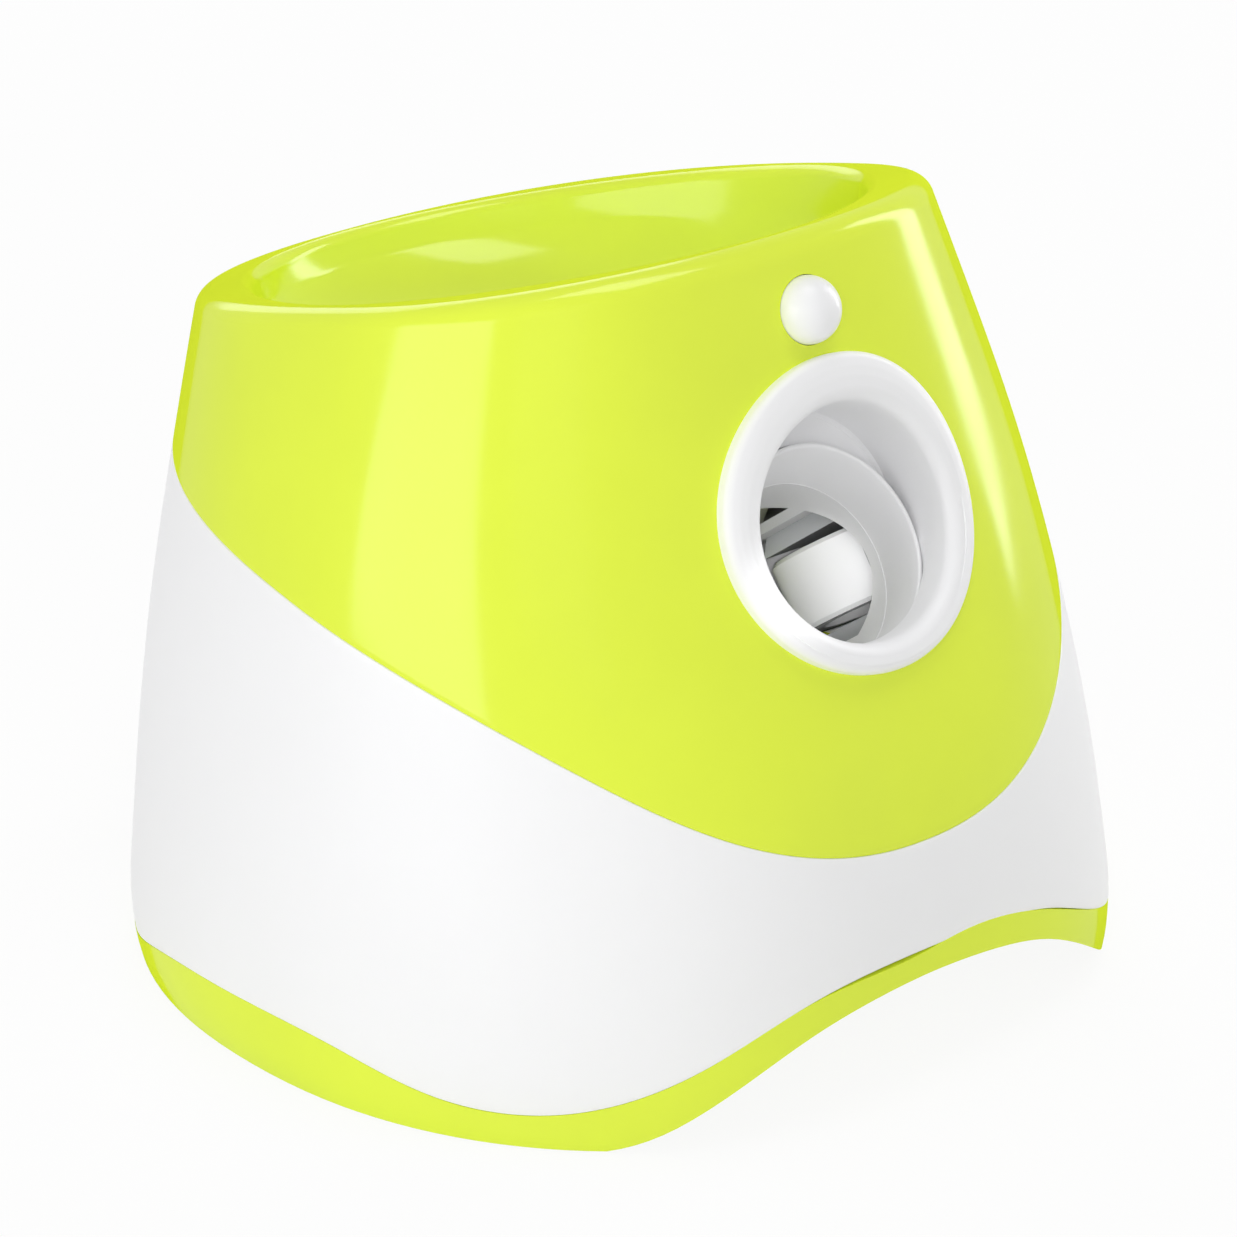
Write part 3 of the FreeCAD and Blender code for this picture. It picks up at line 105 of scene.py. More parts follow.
def cubic_through(knots, values, periodic=False):
    """A smooth curve through values at knots; natural at its ends, or closed."""
    knots = np.asarray(knots, float)
    values = np.asarray(values, float).reshape(len(knots), -1)
    gaps = np.diff(knots)
    count = len(knots)
    matrix = np.eye(count)
    right = np.zeros_like(values)
    for i in range(1, count - 1):
        matrix[i, i - 1:i + 2] = gaps[i - 1], 2 * (gaps[i - 1] + gaps[i]), gaps[i]
        right[i] = 6 * ((values[i + 1] - values[i]) / gaps[i] - (values[i] - values[i - 1]) / gaps[i - 1])
    if periodic:
        matrix[0] = 0
        matrix[0, 0], matrix[0, -1] = 1, -1
        matrix[-1] = 0
        matrix[-1, 0] = 2 * gaps[0]
        matrix[-1, 1] = gaps[0]
        matrix[-1, -2] = gaps[-1]
        matrix[-1, -1] = 2 * gaps[-1]
        right[-1] = 6 * ((values[1] - values[0]) / gaps[0] - (values[-1] - values[-2]) / gaps[-1])
    bends = np.linalg.solve(matrix, right)

    def at(place):
        place = np.asarray(place, float)
        i = np.clip(np.searchsorted(knots, place, side="right") - 1, 0, count - 2)
        gap = gaps[i][..., None]
        low = (place - knots[i])[..., None]
        high = gap - low
        result = (bends[i] * high ** 3 + bends[i + 1] * low ** 3) / (6 * gap)
        result = result + (values[i] / gap - bends[i] * gap / 6) * high
        result = result + (values[i + 1] / gap - bends[i + 1] * gap / 6) * low
        return result
    return at


def chord_curve(points, samples=2000):
    """Points along a smooth curve through a few points in the plane."""
    points = np.asarray(points, float)
    steps = np.hypot(*np.diff(points, axis=0).T)
    knots = np.concatenate(([0], np.cumsum(steps)))
    return cubic_through(knots, points)(np.linspace(0, knots[-1], samples))


station_curve = cubic_through(STATIONS[:, 0], STATIONS[:, 1:])
seam_side = chord_curve(UPPER_SEAM)


def seam_ring(radius, samples=1441):
    """The lower seam as a closed smooth curve on an upright cylinder."""
    turns = [a for a, _ in LOWER_SEAM] + [360 - a for a, _ in reversed(LOWER_SEAM[:-1])]
    heights = [z for _, z in LOWER_SEAM] + [z for _, z in reversed(LOWER_SEAM[:-1])]
    turns, heights = np.radians(turns), np.array(heights)
    points = np.stack([radius * np.sin(turns), -radius * np.cos(turns), heights], -1)
    knots = np.concatenate(([0], np.cumsum(np.linalg.norm(np.diff(points, axis=0), axis=-1))))
    return cubic_through(knots, points, periodic=True)(np.linspace(0, knots[-1], samples))


def squash_circle(angle, power):
    """Across and along of a superellipse, from an angle measured from the front."""
    across, along = np.sin(angle), -np.cos(angle)
    return (np.sign(across) * np.abs(across) ** (2 / power), np.sign(along) * np.abs(along) ** (2 / power))


def housing_point(angle, height, inset=0.0):
    """The housing's outer form at an angle and height, in millimetres."""
    half_width, front, back = np.moveaxis(station_curve(height), -1, 0) - inset
    across, along = squash_circle(angle, SQUARENESS)
    reach = np.where(along < 0, front + WIDEST_Y, back - WIDEST_Y)
    return np.stack([half_width * across, WIDEST_Y + reach * along, height + 0 * across], -1)


def housing_level(point):
    """Below 1 inside the housing's form, above 1 outside it."""
    half_width, front, back = np.moveaxis(station_curve(point[..., 2]), -1, 0)
    away = point[..., 1] - WIDEST_Y
    reach = np.where(away < 0, front + WIDEST_Y, back - WIDEST_Y)
    return np.abs(point[..., 0] / half_width) ** SQUARENESS + np.abs(away / reach) ** SQUARENESS


def rim_level(y, drop=0.0):
    return RIM_HEIGHT - RIM_SLOPE * y - drop


def upper_seam_level(point):
    return np.interp(point[..., 1], seam_side[:, 0], seam_side[:, 1])


def seam_on_wall():
    """The lower seam on the housing's wall: angles from the front and heights, in order."""
    inside, outside = 40.0, 200.0  # radii of cylinders on either side of the wall
    near, far = seam_ring(inside), seam_ring(outside)
    radius = np.full(len(near), 140.0)
    for _ in range(8):
        point = near + (far - near) * ((radius - inside) / (outside - inside))[:, None]
        radius = radius * housing_level(point) ** (-1 / SQUARENESS)
    angle = np.arctan2(point[:, 0], -point[:, 1]) % (2 * math.pi)
    order = np.argsort(angle)
    return angle[order], point[order, 2]


SEAM_ANGLES, SEAM_HEIGHTS = seam_on_wall()


def lower_seam_level(point):
    angle = np.arctan2(point[..., 0], -point[..., 1]) % (2 * math.pi)
    return np.interp(angle, SEAM_ANGLES, SEAM_HEIGHTS, period=2 * math.pi)


def height_where(angle, level, inset=0.0, start=120.0):
    """The height at which the housing's form meets a level, for each angle."""
    height = np.full_like(angle, start)
    for _ in range(40):
        height = 0.5 * height + 0.5 * level(housing_point(angle, height, inset))
    return height


def mouth_point(angle, drop, spread=0.0):
    """The hopper's mouth outline at a drop below the rim's plane."""
    across, along = squash_circle(angle, MOUTH_SQUARENESS)
    reach = np.where(along < 0, MOUTH_FRONT + MOUTH_MIDDLE, MOUTH_BACK - MOUTH_MIDDLE) + spread
    y = MOUTH_MIDDLE + reach * along
    return np.stack([(MOUTH_HALF_WIDTH + spread) * across, y, rim_level(y, drop)], -1)


def bowl_point(angle, inward, spread=0.0):
    """The hopper's bowl: 0 at the mouth, 1 at the outlet; steep under the rim, gentle below."""
    power = MOUTH_SQUARENESS + (2 - MOUTH_SQUARENESS) * inward
    across, along = squash_circle(angle, power)
    middle = MOUTH_MIDDLE + (SEAT_Y - MOUTH_MIDDLE) * inward
    half_width = MOUTH_HALF_WIDTH + (OUTLET_RADIUS - MOUTH_HALF_WIDTH) * inward + spread
    front = -MOUTH_FRONT + (SEAT_Y - OUTLET_RADIUS + MOUTH_FRONT) * inward - spread
    back = MOUTH_BACK + (SEAT_Y + OUTLET_RADIUS - MOUTH_BACK) * inward + spread
    y = middle + np.where(along < 0, middle - front, back - middle) * along
    top = rim_level(y, LIP_DEPTH)
    drop = 0.4 * inward + 0.6 * (1 - (1 - inward) ** 9)
    return np.stack([half_width * across, y, top + (OUTLET_HEIGHT - spread * inward - top) * drop], -1)


# --- meshes --------------------------------------------------------------------------------------

ACROSS = np.array([1.0, 0.0, 0.0])


def new_object(name, mesh):
    piece = bpy.data.objects.new(name, mesh)
    bpy.context.scene.collection.objects.link(piece)
    return piece


def grid_mesh(name, rings):
    """A mesh from rings[turn, profile, xyz] in millimetres, closed both ways."""
    turns, steps, _ = rings.shape
    faces = []
    for i in range(turns):
        after = (i + 1) % turns
        for j in range(steps):
            beside = (j + 1) % steps
            faces.append((i * steps + j, after * steps + j, after * steps + beside, i * steps + beside))
    mesh = bpy.data.meshes.new(name)
    mesh.from_pydata((rings.reshape(-1, 3) * MM).tolist(), [], faces)
    mesh.validate()
    outward(mesh)
    return mesh


def outward(mesh):
    """Turns a closed mesh so that its faces point out."""
    work = bmesh.new()
    work.from_mesh(mesh)
    bmesh.ops.recalc_face_normals(work, faces=work.faces)
    work.to_mesh(mesh)
    work.free()


def arc_between(corner, toward_a, toward_b, radius, steps):
    """A round of a corner whose sides run along two unit directions; from side a to side b."""
    cosine = np.clip((toward_a * toward_b).sum(-1, keepdims=True), -0.999, 0.999)
    half = 0.5 * np.arccos(cosine)
    centre = corner + unit(toward_a + toward_b) * radius / np.sin(half)
    start = corner + toward_a * radius / np.tan(half) - centre
    end = corner + toward_b * radius / np.tan(half) - centre
    whole = math.pi - 2 * half
    points = []
    for step in range(steps + 1):
        share = step / steps
        blend = start * np.sin((1 - share) * whole) + end * np.sin(share * whole)
        points.append(centre + blend / np.sin(whole))
    return points


def even_angles(turns):
    return np.arange(turns) * 2 * math.pi / turns


def quarter_turns(steps):
    """Angles from nothing to a right angle."""
    return [math.radians(90 * step / steps) for step in range(steps + 1)]


def hoop(angle, radius, centre, up):
    """A circle about a centre, in the plane of the X axis and an upward direction."""
    upward = np.cos(angle)[:, None] * np.array(up)
    return np.array(centre) + radius * (np.sin(angle)[:, None] * ACROSS + upward)


def unit(vectors):
    return vectors / np.linalg.norm(vectors, axis=-1, keepdims=True)


def along_ring(points):
    """The direction along a closed ring at each of its points."""
    return unit(np.roll(points, -1, axis=0) - np.roll(points, 1, axis=0))


def surface_normal(angle, height):
    """The housing's outward normal."""
    small = 0.01
    around = housing_point(angle + small, height) - housing_point(angle - small, height)
    upward = housing_point(angle, height + 1.0) - housing_point(angle, height - 1.0)
    return unit(np.cross(around, upward))


def soften(piece, angle=35.0):
    """Smooth shading that keeps edges sharper than the angle."""
    piece.data.polygons.foreach_set("use_smooth", [True] * len(piece.data.polygons))
    piece.data.set_sharp_from_angle(angle=math.radians(angle))
    piece.data.update()


def carve(piece, tools):
    """Cuts tools out of a piece for good and deletes them."""
    for tool in tools:
        modifier = piece.modifiers.new("Carve", "BOOLEAN")
        modifier.operation = "DIFFERENCE"
        modifier.solver = "EXACT"
        modifier.object = tool
    bpy.context.view_layer.update()
    result = bpy.data.meshes.new_from_object(piece.evaluated_get(bpy.context.evaluated_depsgraph_get()))
    old = piece.data
    piece.modifiers.clear()
    piece.data = result
    bpy.data.meshes.remove(old)
    for tool in tools:
        bpy.data.objects.remove(tool)


def prism(name, outline, far_outline, place):
    """A cutting tool between two outlines of as many points each, in millimetres and then placed."""
    count = len(outline)
    faces = [(i, (i + 1) % count, count + (i + 1) % count, count + i) for i in range(count)]
    faces += [tuple(reversed(range(count))), tuple(range(count, 2 * count))]
    mesh = bpy.data.meshes.new(name)
    mesh.from_pydata(outline + far_outline, [], faces)
    mesh.transform(Matrix.Scale(MM, 4) @ place)
    outward(mesh)
    return new_object(name, mesh)


def rod(name, radius, low, high, centre, turn, sides):
    """A round cutting tool between two heights of a local frame."""
    angles = np.linspace(0, 2 * math.pi, sides, endpoint=False)
    circle = np.stack([radius * np.cos(angles), radius * np.sin(angles)], -1)
    outline, far_outline = ([(x, y, height) for x, y in circle] for height in (low, high))
    return prism(name, outline, far_outline, Matrix.Translation(centre) @ turn)


def finished(piece, body, slot, *nodes):
    """Moves a piece over the origin, gives it its body and its finish, and hides the nodes that it stands
    for.
    """
    piece.data.transform(Matrix.Translation((0, -CENTRE_Y * MM, 0)))
    piece.data.materials.clear()
    piece.data.materials.append(made_finish(slot))
    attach(piece, body)
    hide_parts(*nodes)


# --- materials -----------------------------------------------------------------------------------

def srgb(red, green, blue):
    """A linear colour from 0-255 screen values."""
    def linear(value):
        value = value / 255
        return value / 12.92 if value <= 0.04045 else ((value + 0.055) / 1.055) ** 2.4
    return (linear(red), linear(green), linear(blue))


class Shader:
    """A material's node tree, made a node at a time."""

    def __init__(self, name):
        self.material = bpy.data.materials.get(name) or bpy.data.materials.new(name)
        self.material.use_nodes = True
        self.tree = self.material.node_tree
        self.tree.nodes.clear()
        output = self.tree.nodes.new("ShaderNodeOutputMaterial")
        self.surface = self.tree.nodes.new("ShaderNodeBsdfPrincipled")
        self.link(self.surface, "BSDF", output, "Surface")
        self.place = self.tree.nodes.new("ShaderNodeTexCoord")

    def link(self, source, output, target, entry):
        self.tree.links.new(source.outputs[output], target.inputs[entry])

    def node(self, kind, **settings):
        made = self.tree.nodes.new(kind)
        for name, value in settings.items():
            setattr(made, name, value)
        return made

    def set(self, **values):
        for name, value in values.items():
            self.surface.inputs[name.replace("_", " ")].default_value = value

    def noise(self, scale, detail=2.0, roughness=0.5, stretch=(1, 1, 1)):
        mapping = self.node("ShaderNodeMapping")
        mapping.inputs["Scale"].default_value = stretch
        self.link(self.place, "Object", mapping, "Vector")
        noise = self.node("ShaderNodeTexNoise")
        noise.inputs["Scale"].default_value = scale
        noise.inputs["Detail"].default_value = detail
        noise.inputs["Roughness"].default_value = roughness
        self.link(mapping, "Vector", noise, "Vector")
        return noise

    def blend(self, source, output, low_colour, high_colour, low=0.35, high=0.65):
        """A colour that goes from low to high with a grey value."""
        ramp = self.node("ShaderNodeValToRGB")
        ramp.color_ramp.interpolation = "EASE"
        ramp.color_ramp.elements[0].position = low
        ramp.color_ramp.elements[1].position = high
        ramp.color_ramp.elements[0].color = (*low_colour, 1)
        ramp.color_ramp.elements[1].color = (*high_colour, 1)
        self.link(source, output, ramp, "Fac")
        return ramp

    def vary_roughness(self, source, low, high):
        spread = self.node("ShaderNodeMapRange", interpolation_type="SMOOTHERSTEP")
        spread.inputs["From Min"].default_value = 0.3
        spread.inputs["From Max"].default_value = 0.7
        spread.inputs["To Min"].default_value = low
        spread.inputs["To Max"].default_value = high
        self.link(source, "Fac", spread, "Value")
        self.link(spread, "Result", self.surface, "Roughness")

    def quiet_edges(self):
        """Fades the reflections on faces seen nearly edge on, so that a white room leaves their colour."""
        facing = self.node("ShaderNodeLayerWeight")
        facing.inputs["Blend"].default_value = 0.5
        gloss = self.node("ShaderNodeMapRange")
        gloss.inputs["From Min"].default_value = 0.2
        gloss.inputs["From Max"].default_value = 0.78
        gloss.inputs["To Min"].default_value = 0.5
        gloss.inputs["To Max"].default_value = 0.0
        self.link(facing, "Facing", gloss, "Value")
        self.link(gloss, "Result", self.surface, "Specular IOR Level")

    def bump(self, source, output, strength, depth):
        bump = self.node("ShaderNodeBump")
        bump.inputs["Strength"].default_value = strength
        bump.inputs["Distance"].default_value = depth
        self.link(source, output, bump, "Height")
        self.link(bump, "Normal", self.surface, "Normal")


def shade(colour, factor):
    return tuple(min(1.0, channel * factor) for channel in colour)


def moulded_plastic(name, colour, roughness, variation=0.02, grain=0.000012, grain_scale=900.0, uneven=0.15,
                    quiet=False):
    """Injection-moulded plastic: faint flow clouding, uneven polish and a very fine skin."""
    shader = Shader(name)
    clouds = shader.noise(scale=14.0, detail=3.0)
    ramp = shader.blend(clouds, "Fac", shade(colour, 1 - variation), shade(colour, 1 + variation))
    shader.link(ramp, "Color", shader.surface, "Base Color")
    shader.vary_roughness(shader.noise(scale=30.0), roughness * (1 - uneven), roughness * (1 + uneven))
    shader.bump(shader.noise(grain_scale), "Fac", strength=0.35, depth=grain)
    shader.set(IOR=1.5)
    if quiet:
        shader.quiet_edges()
    return shader.material


def brushed_metal(name, colour, roughness, stretch=(1, 1, 30)):
    """Metal with fine drawn lines."""
    shader = Shader(name)
    lines = shader.noise(scale=260.0, detail=4.0, roughness=0.6, stretch=stretch)
    ramp = shader.blend(lines, "Fac", shade(colour, 0.88), shade(colour, 1.05))
    shader.link(ramp, "Color", shader.surface, "Base Color")
    shader.vary_roughness(lines, roughness * 0.8, roughness * 1.3)
    shader.bump(lines, "Fac", strength=0.25, depth=0.00002)
    shader.set(Metallic=1.0)
    return shader.material


def rubber_skin(name, colour):
    """Matt rubber with a fine pebbled skin and dusty patches."""
    shader = Shader(name)
    dust = shader.noise(scale=60.0, detail=4.0)
    ramp = shader.blend(dust, "Fac", colour, shade(colour, 1.6))
    shader.link(ramp, "Color", shader.surface, "Base Color")
    shader.vary_roughness(dust, low=0.65, high=0.85)
    pebbles = shader.node("ShaderNodeTexVoronoi")
    pebbles.inputs["Scale"].default_value = 1400.0
    shader.link(shader.place, "Object", pebbles, "Vector")
    shader.bump(pebbles, "Distance", strength=0.4, depth=0.00006)
    return shader.material


def circuit_board(name, colour):
    """Solder mask with faint copper runs under it and tinned pads."""
    shader = Shader(name)
    runs = shader.node("ShaderNodeTexBrick")
    runs.inputs["Scale"].default_value = 160.0
    runs.inputs["Mortar Size"].default_value = 0.03
    runs.inputs["Color1"].default_value = (*colour, 1)
    runs.inputs["Color2"].default_value = (*shade(colour, 1.25), 1)
    runs.inputs["Mortar"].default_value = (*shade(colour, 1.9), 1)
    shader.link(shader.place, "Object", runs, "Vector")
    shader.link(runs, "Color", shader.surface, "Base Color")
    shader.vary_roughness(shader.noise(scale=80.0), low=0.25, high=0.4)
    shader.bump(runs, "Fac", strength=0.3, depth=0.00004)
    return shader.material


def cell_jacket(name, colour):
    """A battery's shrink-wrapped jacket, faintly rippled."""
    shader = Shader(name)
    ripples = shader.noise(scale=120.0, stretch=(1, 6, 6))
    ramp = shader.blend(ripples, "Fac", shade(colour, 0.9), shade(colour, 1.2))
    shader.link(ramp, "Color", shader.surface, "Base Color")
    shader.vary_roughness(ripples, low=0.22, high=0.34)
    shader.bump(ripples, "Fac", strength=0.3, depth=0.00005)
    return shader.material


def finishes():
    """Every finish of the launcher, by the record's material slot."""
    colours = bpy.context.scene.launcher_finish
    green, white = tuple(colours.green), tuple(colours.white)
    grey = tuple(colours.bracket_grey)
    return {
        "green_plastic": moulded_plastic("green_gloss", green, colours.green_roughness,
                                         variation=0.015, quiet=True),
        "white_plastic": moulded_plastic("white_gloss", white, colours.white_roughness,
                                         variation=0.004, uneven=0.03),
        "white_tread": moulded_plastic("white_tread", white, 0.16, variation=0.01),
        "lens_plastic": moulded_plastic("lens_frosted", white, 0.32,
                                        variation=0.01, grain=0.00002, grain_scale=1500.0),
        "grey_plastic": moulded_plastic("bracket_grey", grey, 0.35, variation=0.03),
        "inner_plastic": moulded_plastic("inner_plastic", srgb(236, 236, 236), 0.42,
                                         variation=0.01, grain=0.00003, uneven=0.05),
        "panel_plastic": moulded_plastic("panel_satin", srgb(92, 94, 97), 0.42,
                                         variation=0.05, grain=0.00004, grain_scale=1600.0),
        "button_plastic": moulded_plastic("button_gloss", green, 0.3),
        "black_plastic": moulded_plastic("black_satin", srgb(26, 26, 27), 0.4,
                                         variation=0.15, grain=0.00003),
        "motor_steel": brushed_metal("motor_can", srgb(176, 177, 180), 0.3),
        "screw_steel": brushed_metal("zinc_plate", srgb(188, 190, 193), 0.28, stretch=(1, 1, 4)),
        "bush_brass": brushed_metal("sintered_brass", srgb(196, 160, 92), 0.4, stretch=(1, 1, 1)),
        "cell_jacket": cell_jacket("cell_jacket", srgb(52, 56, 60)),
        "board_laminate": circuit_board("solder_mask", srgb(22, 92, 52)),
        "light_plastic": moulded_plastic("light_lens", srgb(225, 228, 222), 0.15),
        "pad_rubber": rubber_skin("pad_rubber", srgb(48, 48, 50)),
    }


MADE = {}  # the finishes made so far, by slot


def made_finish(slot):
    """A slot's finish; all of them are made when none is."""
    if not MADE:
        MADE.update(finishes())
    return MADE[slot]


def slot_of(node):
    """The record's material slot of a construction node."""
    return next(part["material_slot"] for part in frame["record"]["subparts"] if part["node"] == node)


# --- settings ------------------------------------------------------------------------------------

class LauncherForm(PropertyGroup):
    outer_round: FloatProperty(name="Rim outer round", description="Round on the outside of the hopper's rim",
                               default=7.0 * MM, min=1.0 * MM, unit="LENGTH")
    inner_round: FloatProperty(name="Rim inner round", description="Round on the inside of the hopper's rim",
                               default=3.8 * MM, min=1.0 * MM, unit="LENGTH")
    seam_round: FloatProperty(name="Seam round", description="Round on the shells' edges at their seams",
                              default=0.5 * MM, min=0.1 * MM, unit="LENGTH")
    bezel_stand: FloatProperty(name="Muzzle ring height", description="How far the muzzle ring stands out",
                               default=4.7 * MM, unit="LENGTH")


class LauncherFinish(PropertyGroup):
    green: FloatVectorProperty(name="Green", description="Colour of the green mouldings", subtype="COLOR",
                               default=srgb(227, 245, 57), min=0, max=1)
    white: FloatVectorProperty(name="White", description="Colour of the white mouldings", subtype="COLOR",
                               default=srgb(246, 246, 247), min=0, max=1)
    bracket_grey: FloatVectorProperty(name="Bracket grey", description="Colour of the wheel brackets",
                                      subtype="COLOR", default=srgb(196, 198, 200), min=0, max=1)
    green_roughness: FloatProperty(name="Green roughness", description="Polish of the green mouldings",
                                   default=0.14, min=0, max=1, subtype="FACTOR")
    white_roughness: FloatProperty(name="White roughness", description="Polish of the white mouldings",
                                   default=0.42, min=0, max=1, subtype="FACTOR")


class LauncherStudio(PropertyGroup):
    azimuth: FloatProperty(name="Azimuth", description="Turn of the camera round the launcher",
                           default=math.radians(-41.19), unit="ROTATION")
    elevation: FloatProperty(name="Elevation", description="Height of the camera above the horizon",
                             default=math.radians(22.91), unit="ROTATION")
    distance: FloatProperty(name="Distance", description="Camera's distance from its target", default=1.60446,
                            unit="LENGTH")
    lens: FloatProperty(name="Lens", description="Focal length on a 36 mm wide sensor, in millimetres",
                        default=161.07)
    target: FloatVectorProperty(name="Target", description="The point that the camera looks at",
                                default=(0.0, -0.007735, 0.115), unit="LENGTH")
    shift: FloatVectorProperty(name="Shift", size=2, default=(-0.0112, -0.0390),
                               description="The camera's shift, as shares of the picture's width")
    fill: FloatProperty(name="Fill", description="Strength of the light from all round", default=0.38, min=0)


# --- pieces --------------------------------------------------------------------------------------

TURNS = 384
RIM_START = 220.0  # height from which the search for the rim starts
LOW_START = 30.0  # height from which the search for the lower seam starts
EDGE_ANGLE = 30.0  # edges sharper than this stay sharp, in degrees
RING_EDGE_ANGLE = 40.0
DOME_EDGE_ANGLE = 50.0


def ring_angles(turns=TURNS):
    """Angles round the housing, offset so that none lies on a flat axis point."""
    return (np.arange(turns) + 0.5) * 2 * math.pi / turns


def wall_rows(angle, low, high, rows, inset=0.0):
    return [housing_point(angle, low + (high - low) * share, inset) for share in np.linspace(0, 1, rows)]


def edge_round(points, normal, into, radius, steps=3):
    """Rounds an edge: from the outer face at the edge, round towards the wall's end face."""
    return arc_between(points, into, -normal, radius, steps)


class LAUNCHER_OT_upper_housing(Operator):
    """Makes the upper housing: outer wall, rolled rim and the hopper's bowl in one smooth skin"""
    bl_idname = "launcher.upper_housing"
    bl_label = "Upper housing and hopper"

    def execute(self, context):
        form = context.scene.launcher_form
        angle = ring_angles()
        wall, crest = outer_wall(angle, form.seam_round / MM, form.outer_round / MM)
        rows = wall + crest + rolled_lip(angle, form.inner_round / MM)
        shares = [LIP_START, 0.045, 0.06, 0.08, 0.1, 0.125, 0.155, 0.19,
                  0.235, 0.29, 0.36, 0.45, 0.56, 0.7, 0.85, 1.0]
        rows += [bowl_point(angle, share) for share in shares]
        inside = OUTLET_RADIUS - SPOUT_LEDGE
        outside = inside + SPOUT_WALL
        spout = ((inside, 0.2), (inside, SPOUT_LENGTH), (outside, SPOUT_LENGTH), (outside, WALL + 0.6))
        rows += [spout_point(angle, radius, OUTLET_HEIGHT - drop) for radius, drop in spout]
        rows += [bowl_point(angle, share, WALL) for share in reversed(shares[1::2])]
        rows.append(mouth_point(angle, WALL, WALL))
        inner_top = height_where(angle, lambda point: rim_level(point[..., 1], WALL), WALL, RIM_START)
        inner_low = height_where(angle, upper_seam_level, WALL)
        rows += wall_rows(angle, inner_top, inner_low, rows=12, inset=WALL)
        piece = new_object("upper_housing", grid_mesh("upper_housing", np.stack(rows, 1)))
        carve(piece, [muzzle_rod("muzzle_hole", THROAT_RADIUS + WALL + CUT_CLEAR, low=-14, high=30),
                      sensor_rod("sensor_hole", LENS_RADIUS + LENS_CLEAR, low=-8, high=20)])
        soften(piece, EDGE_ANGLE)
        finished(piece, "housing", "green_plastic", "upper_shell", "hopper_funnel")
        return {"FINISHED"}


RIM_UP = unit(np.array([0.0, RIM_SLOPE, 1.0]))


def outer_wall(angle, seam_round, outer_round):
    """Rows from the seam's round up the outer wall, and the rows of the rim's outer round."""
    seam = height_where(angle, upper_seam_level)
    rim = height_where(angle, lambda point: rim_level(point[..., 1]), start=RIM_START)
    edge = housing_point(angle, rim)
    tangent = along_ring(edge)
    down = unit(np.cross(surface_normal(angle, rim), tangent))
    down = down * np.where(down[:, 2:3] > 0, -1, 1)
    inward = unit(np.cross(np.broadcast_to(RIM_UP, tangent.shape), tangent))
    middle = np.array([0.0, MOUTH_MIDDLE, rim_level(MOUTH_MIDDLE)])
    inward = inward * np.sign(((middle - edge) * inward).sum(-1, keepdims=True))
    crest = arc_between(edge, down, inward, outer_round, steps=14)
    seam_edge = housing_point(angle, seam)
    upward = unit(housing_point(angle, seam + 1.0) - seam_edge)
    rounded = edge_round(seam_edge, surface_normal(angle, seam), upward, seam_round)
    wall = list(reversed(rounded)) + wall_rows(angle, rounded[0][:, 2], crest[0][:, 2], rows=70)[1:-1]
    return wall, crest


def rolled_lip(angle, inner_round):
    """Rows of the rim's inner round, which runs on into the bowl."""
    mouth = mouth_point(angle, 0.0)
    tangent = along_ring(mouth)
    outward_flat = unit(np.cross(np.broadcast_to(RIM_UP, tangent.shape), tangent))
    middle = np.array([0.0, MOUTH_MIDDLE, rim_level(MOUTH_MIDDLE)])
    outward_flat = outward_flat * np.sign(((mouth - middle) * outward_flat).sum(-1, keepdims=True))
    into_bowl = unit(bowl_point(angle, LIP_START) - mouth)
    return arc_between(mouth, outward_flat, into_bowl, inner_round, steps=12)


def spout_point(angle, radius, height):
    across, along = squash_circle(angle, 2)
    return np.stack([radius * across, SEAT_Y + radius * along, height + 0 * across], -1)


class LAUNCHER_OT_body_housing(Operator):
    """Makes the white middle housing with the opening for the rear controls"""
    bl_idname = "launcher.body_housing"
    bl_label = "Body housing"

    def execute(self, context):
        seam_round = context.scene.launcher_form.seam_round / MM
        angle = ring_angles()
        high = height_where(angle, upper_seam_level)
        low = height_where(angle, lower_seam_level, start=LOW_START)
        high_edge, low_edge = housing_point(angle, high), housing_point(angle, low)
        upward = unit(housing_point(angle, high + 1.0) - housing_point(angle, high - 1.0))
        upward_low = unit(housing_point(angle, low + 1.0) - housing_point(angle, low - 1.0))
        top_round = edge_round(high_edge, surface_normal(angle, high), -upward, seam_round)
        bottom_round = edge_round(low_edge, surface_normal(angle, low), upward_low, seam_round)
        rows = list(reversed(bottom_round))
        rows += wall_rows(angle, bottom_round[0][:, 2], top_round[0][:, 2], rows=60)[1:-1] + top_round
        inner_high = height_where(angle, upper_seam_level, WALL)
        inner_low = height_where(angle, lower_seam_level, WALL, LOW_START)
        rows += wall_rows(angle, inner_high, inner_low, rows=8, inset=WALL)
        piece = new_object("body_housing", grid_mesh("body_housing", np.stack(rows, 1)))
        carve(piece, [rounded_block("panel_hole", near=100, far=160)])
        soften(piece, EDGE_ANGLE)
        finished(piece, "housing", "white_plastic", "body_shell")
        return {"FINISHED"}


# --- rear panel, muzzle and sensor places, in millimetres ----------------------------------------

PANEL_HEIGHT = 88.0
PANEL_WIDTH = 60.0
PANEL_TALL = 44.0
PANEL_CORNER = 7.0

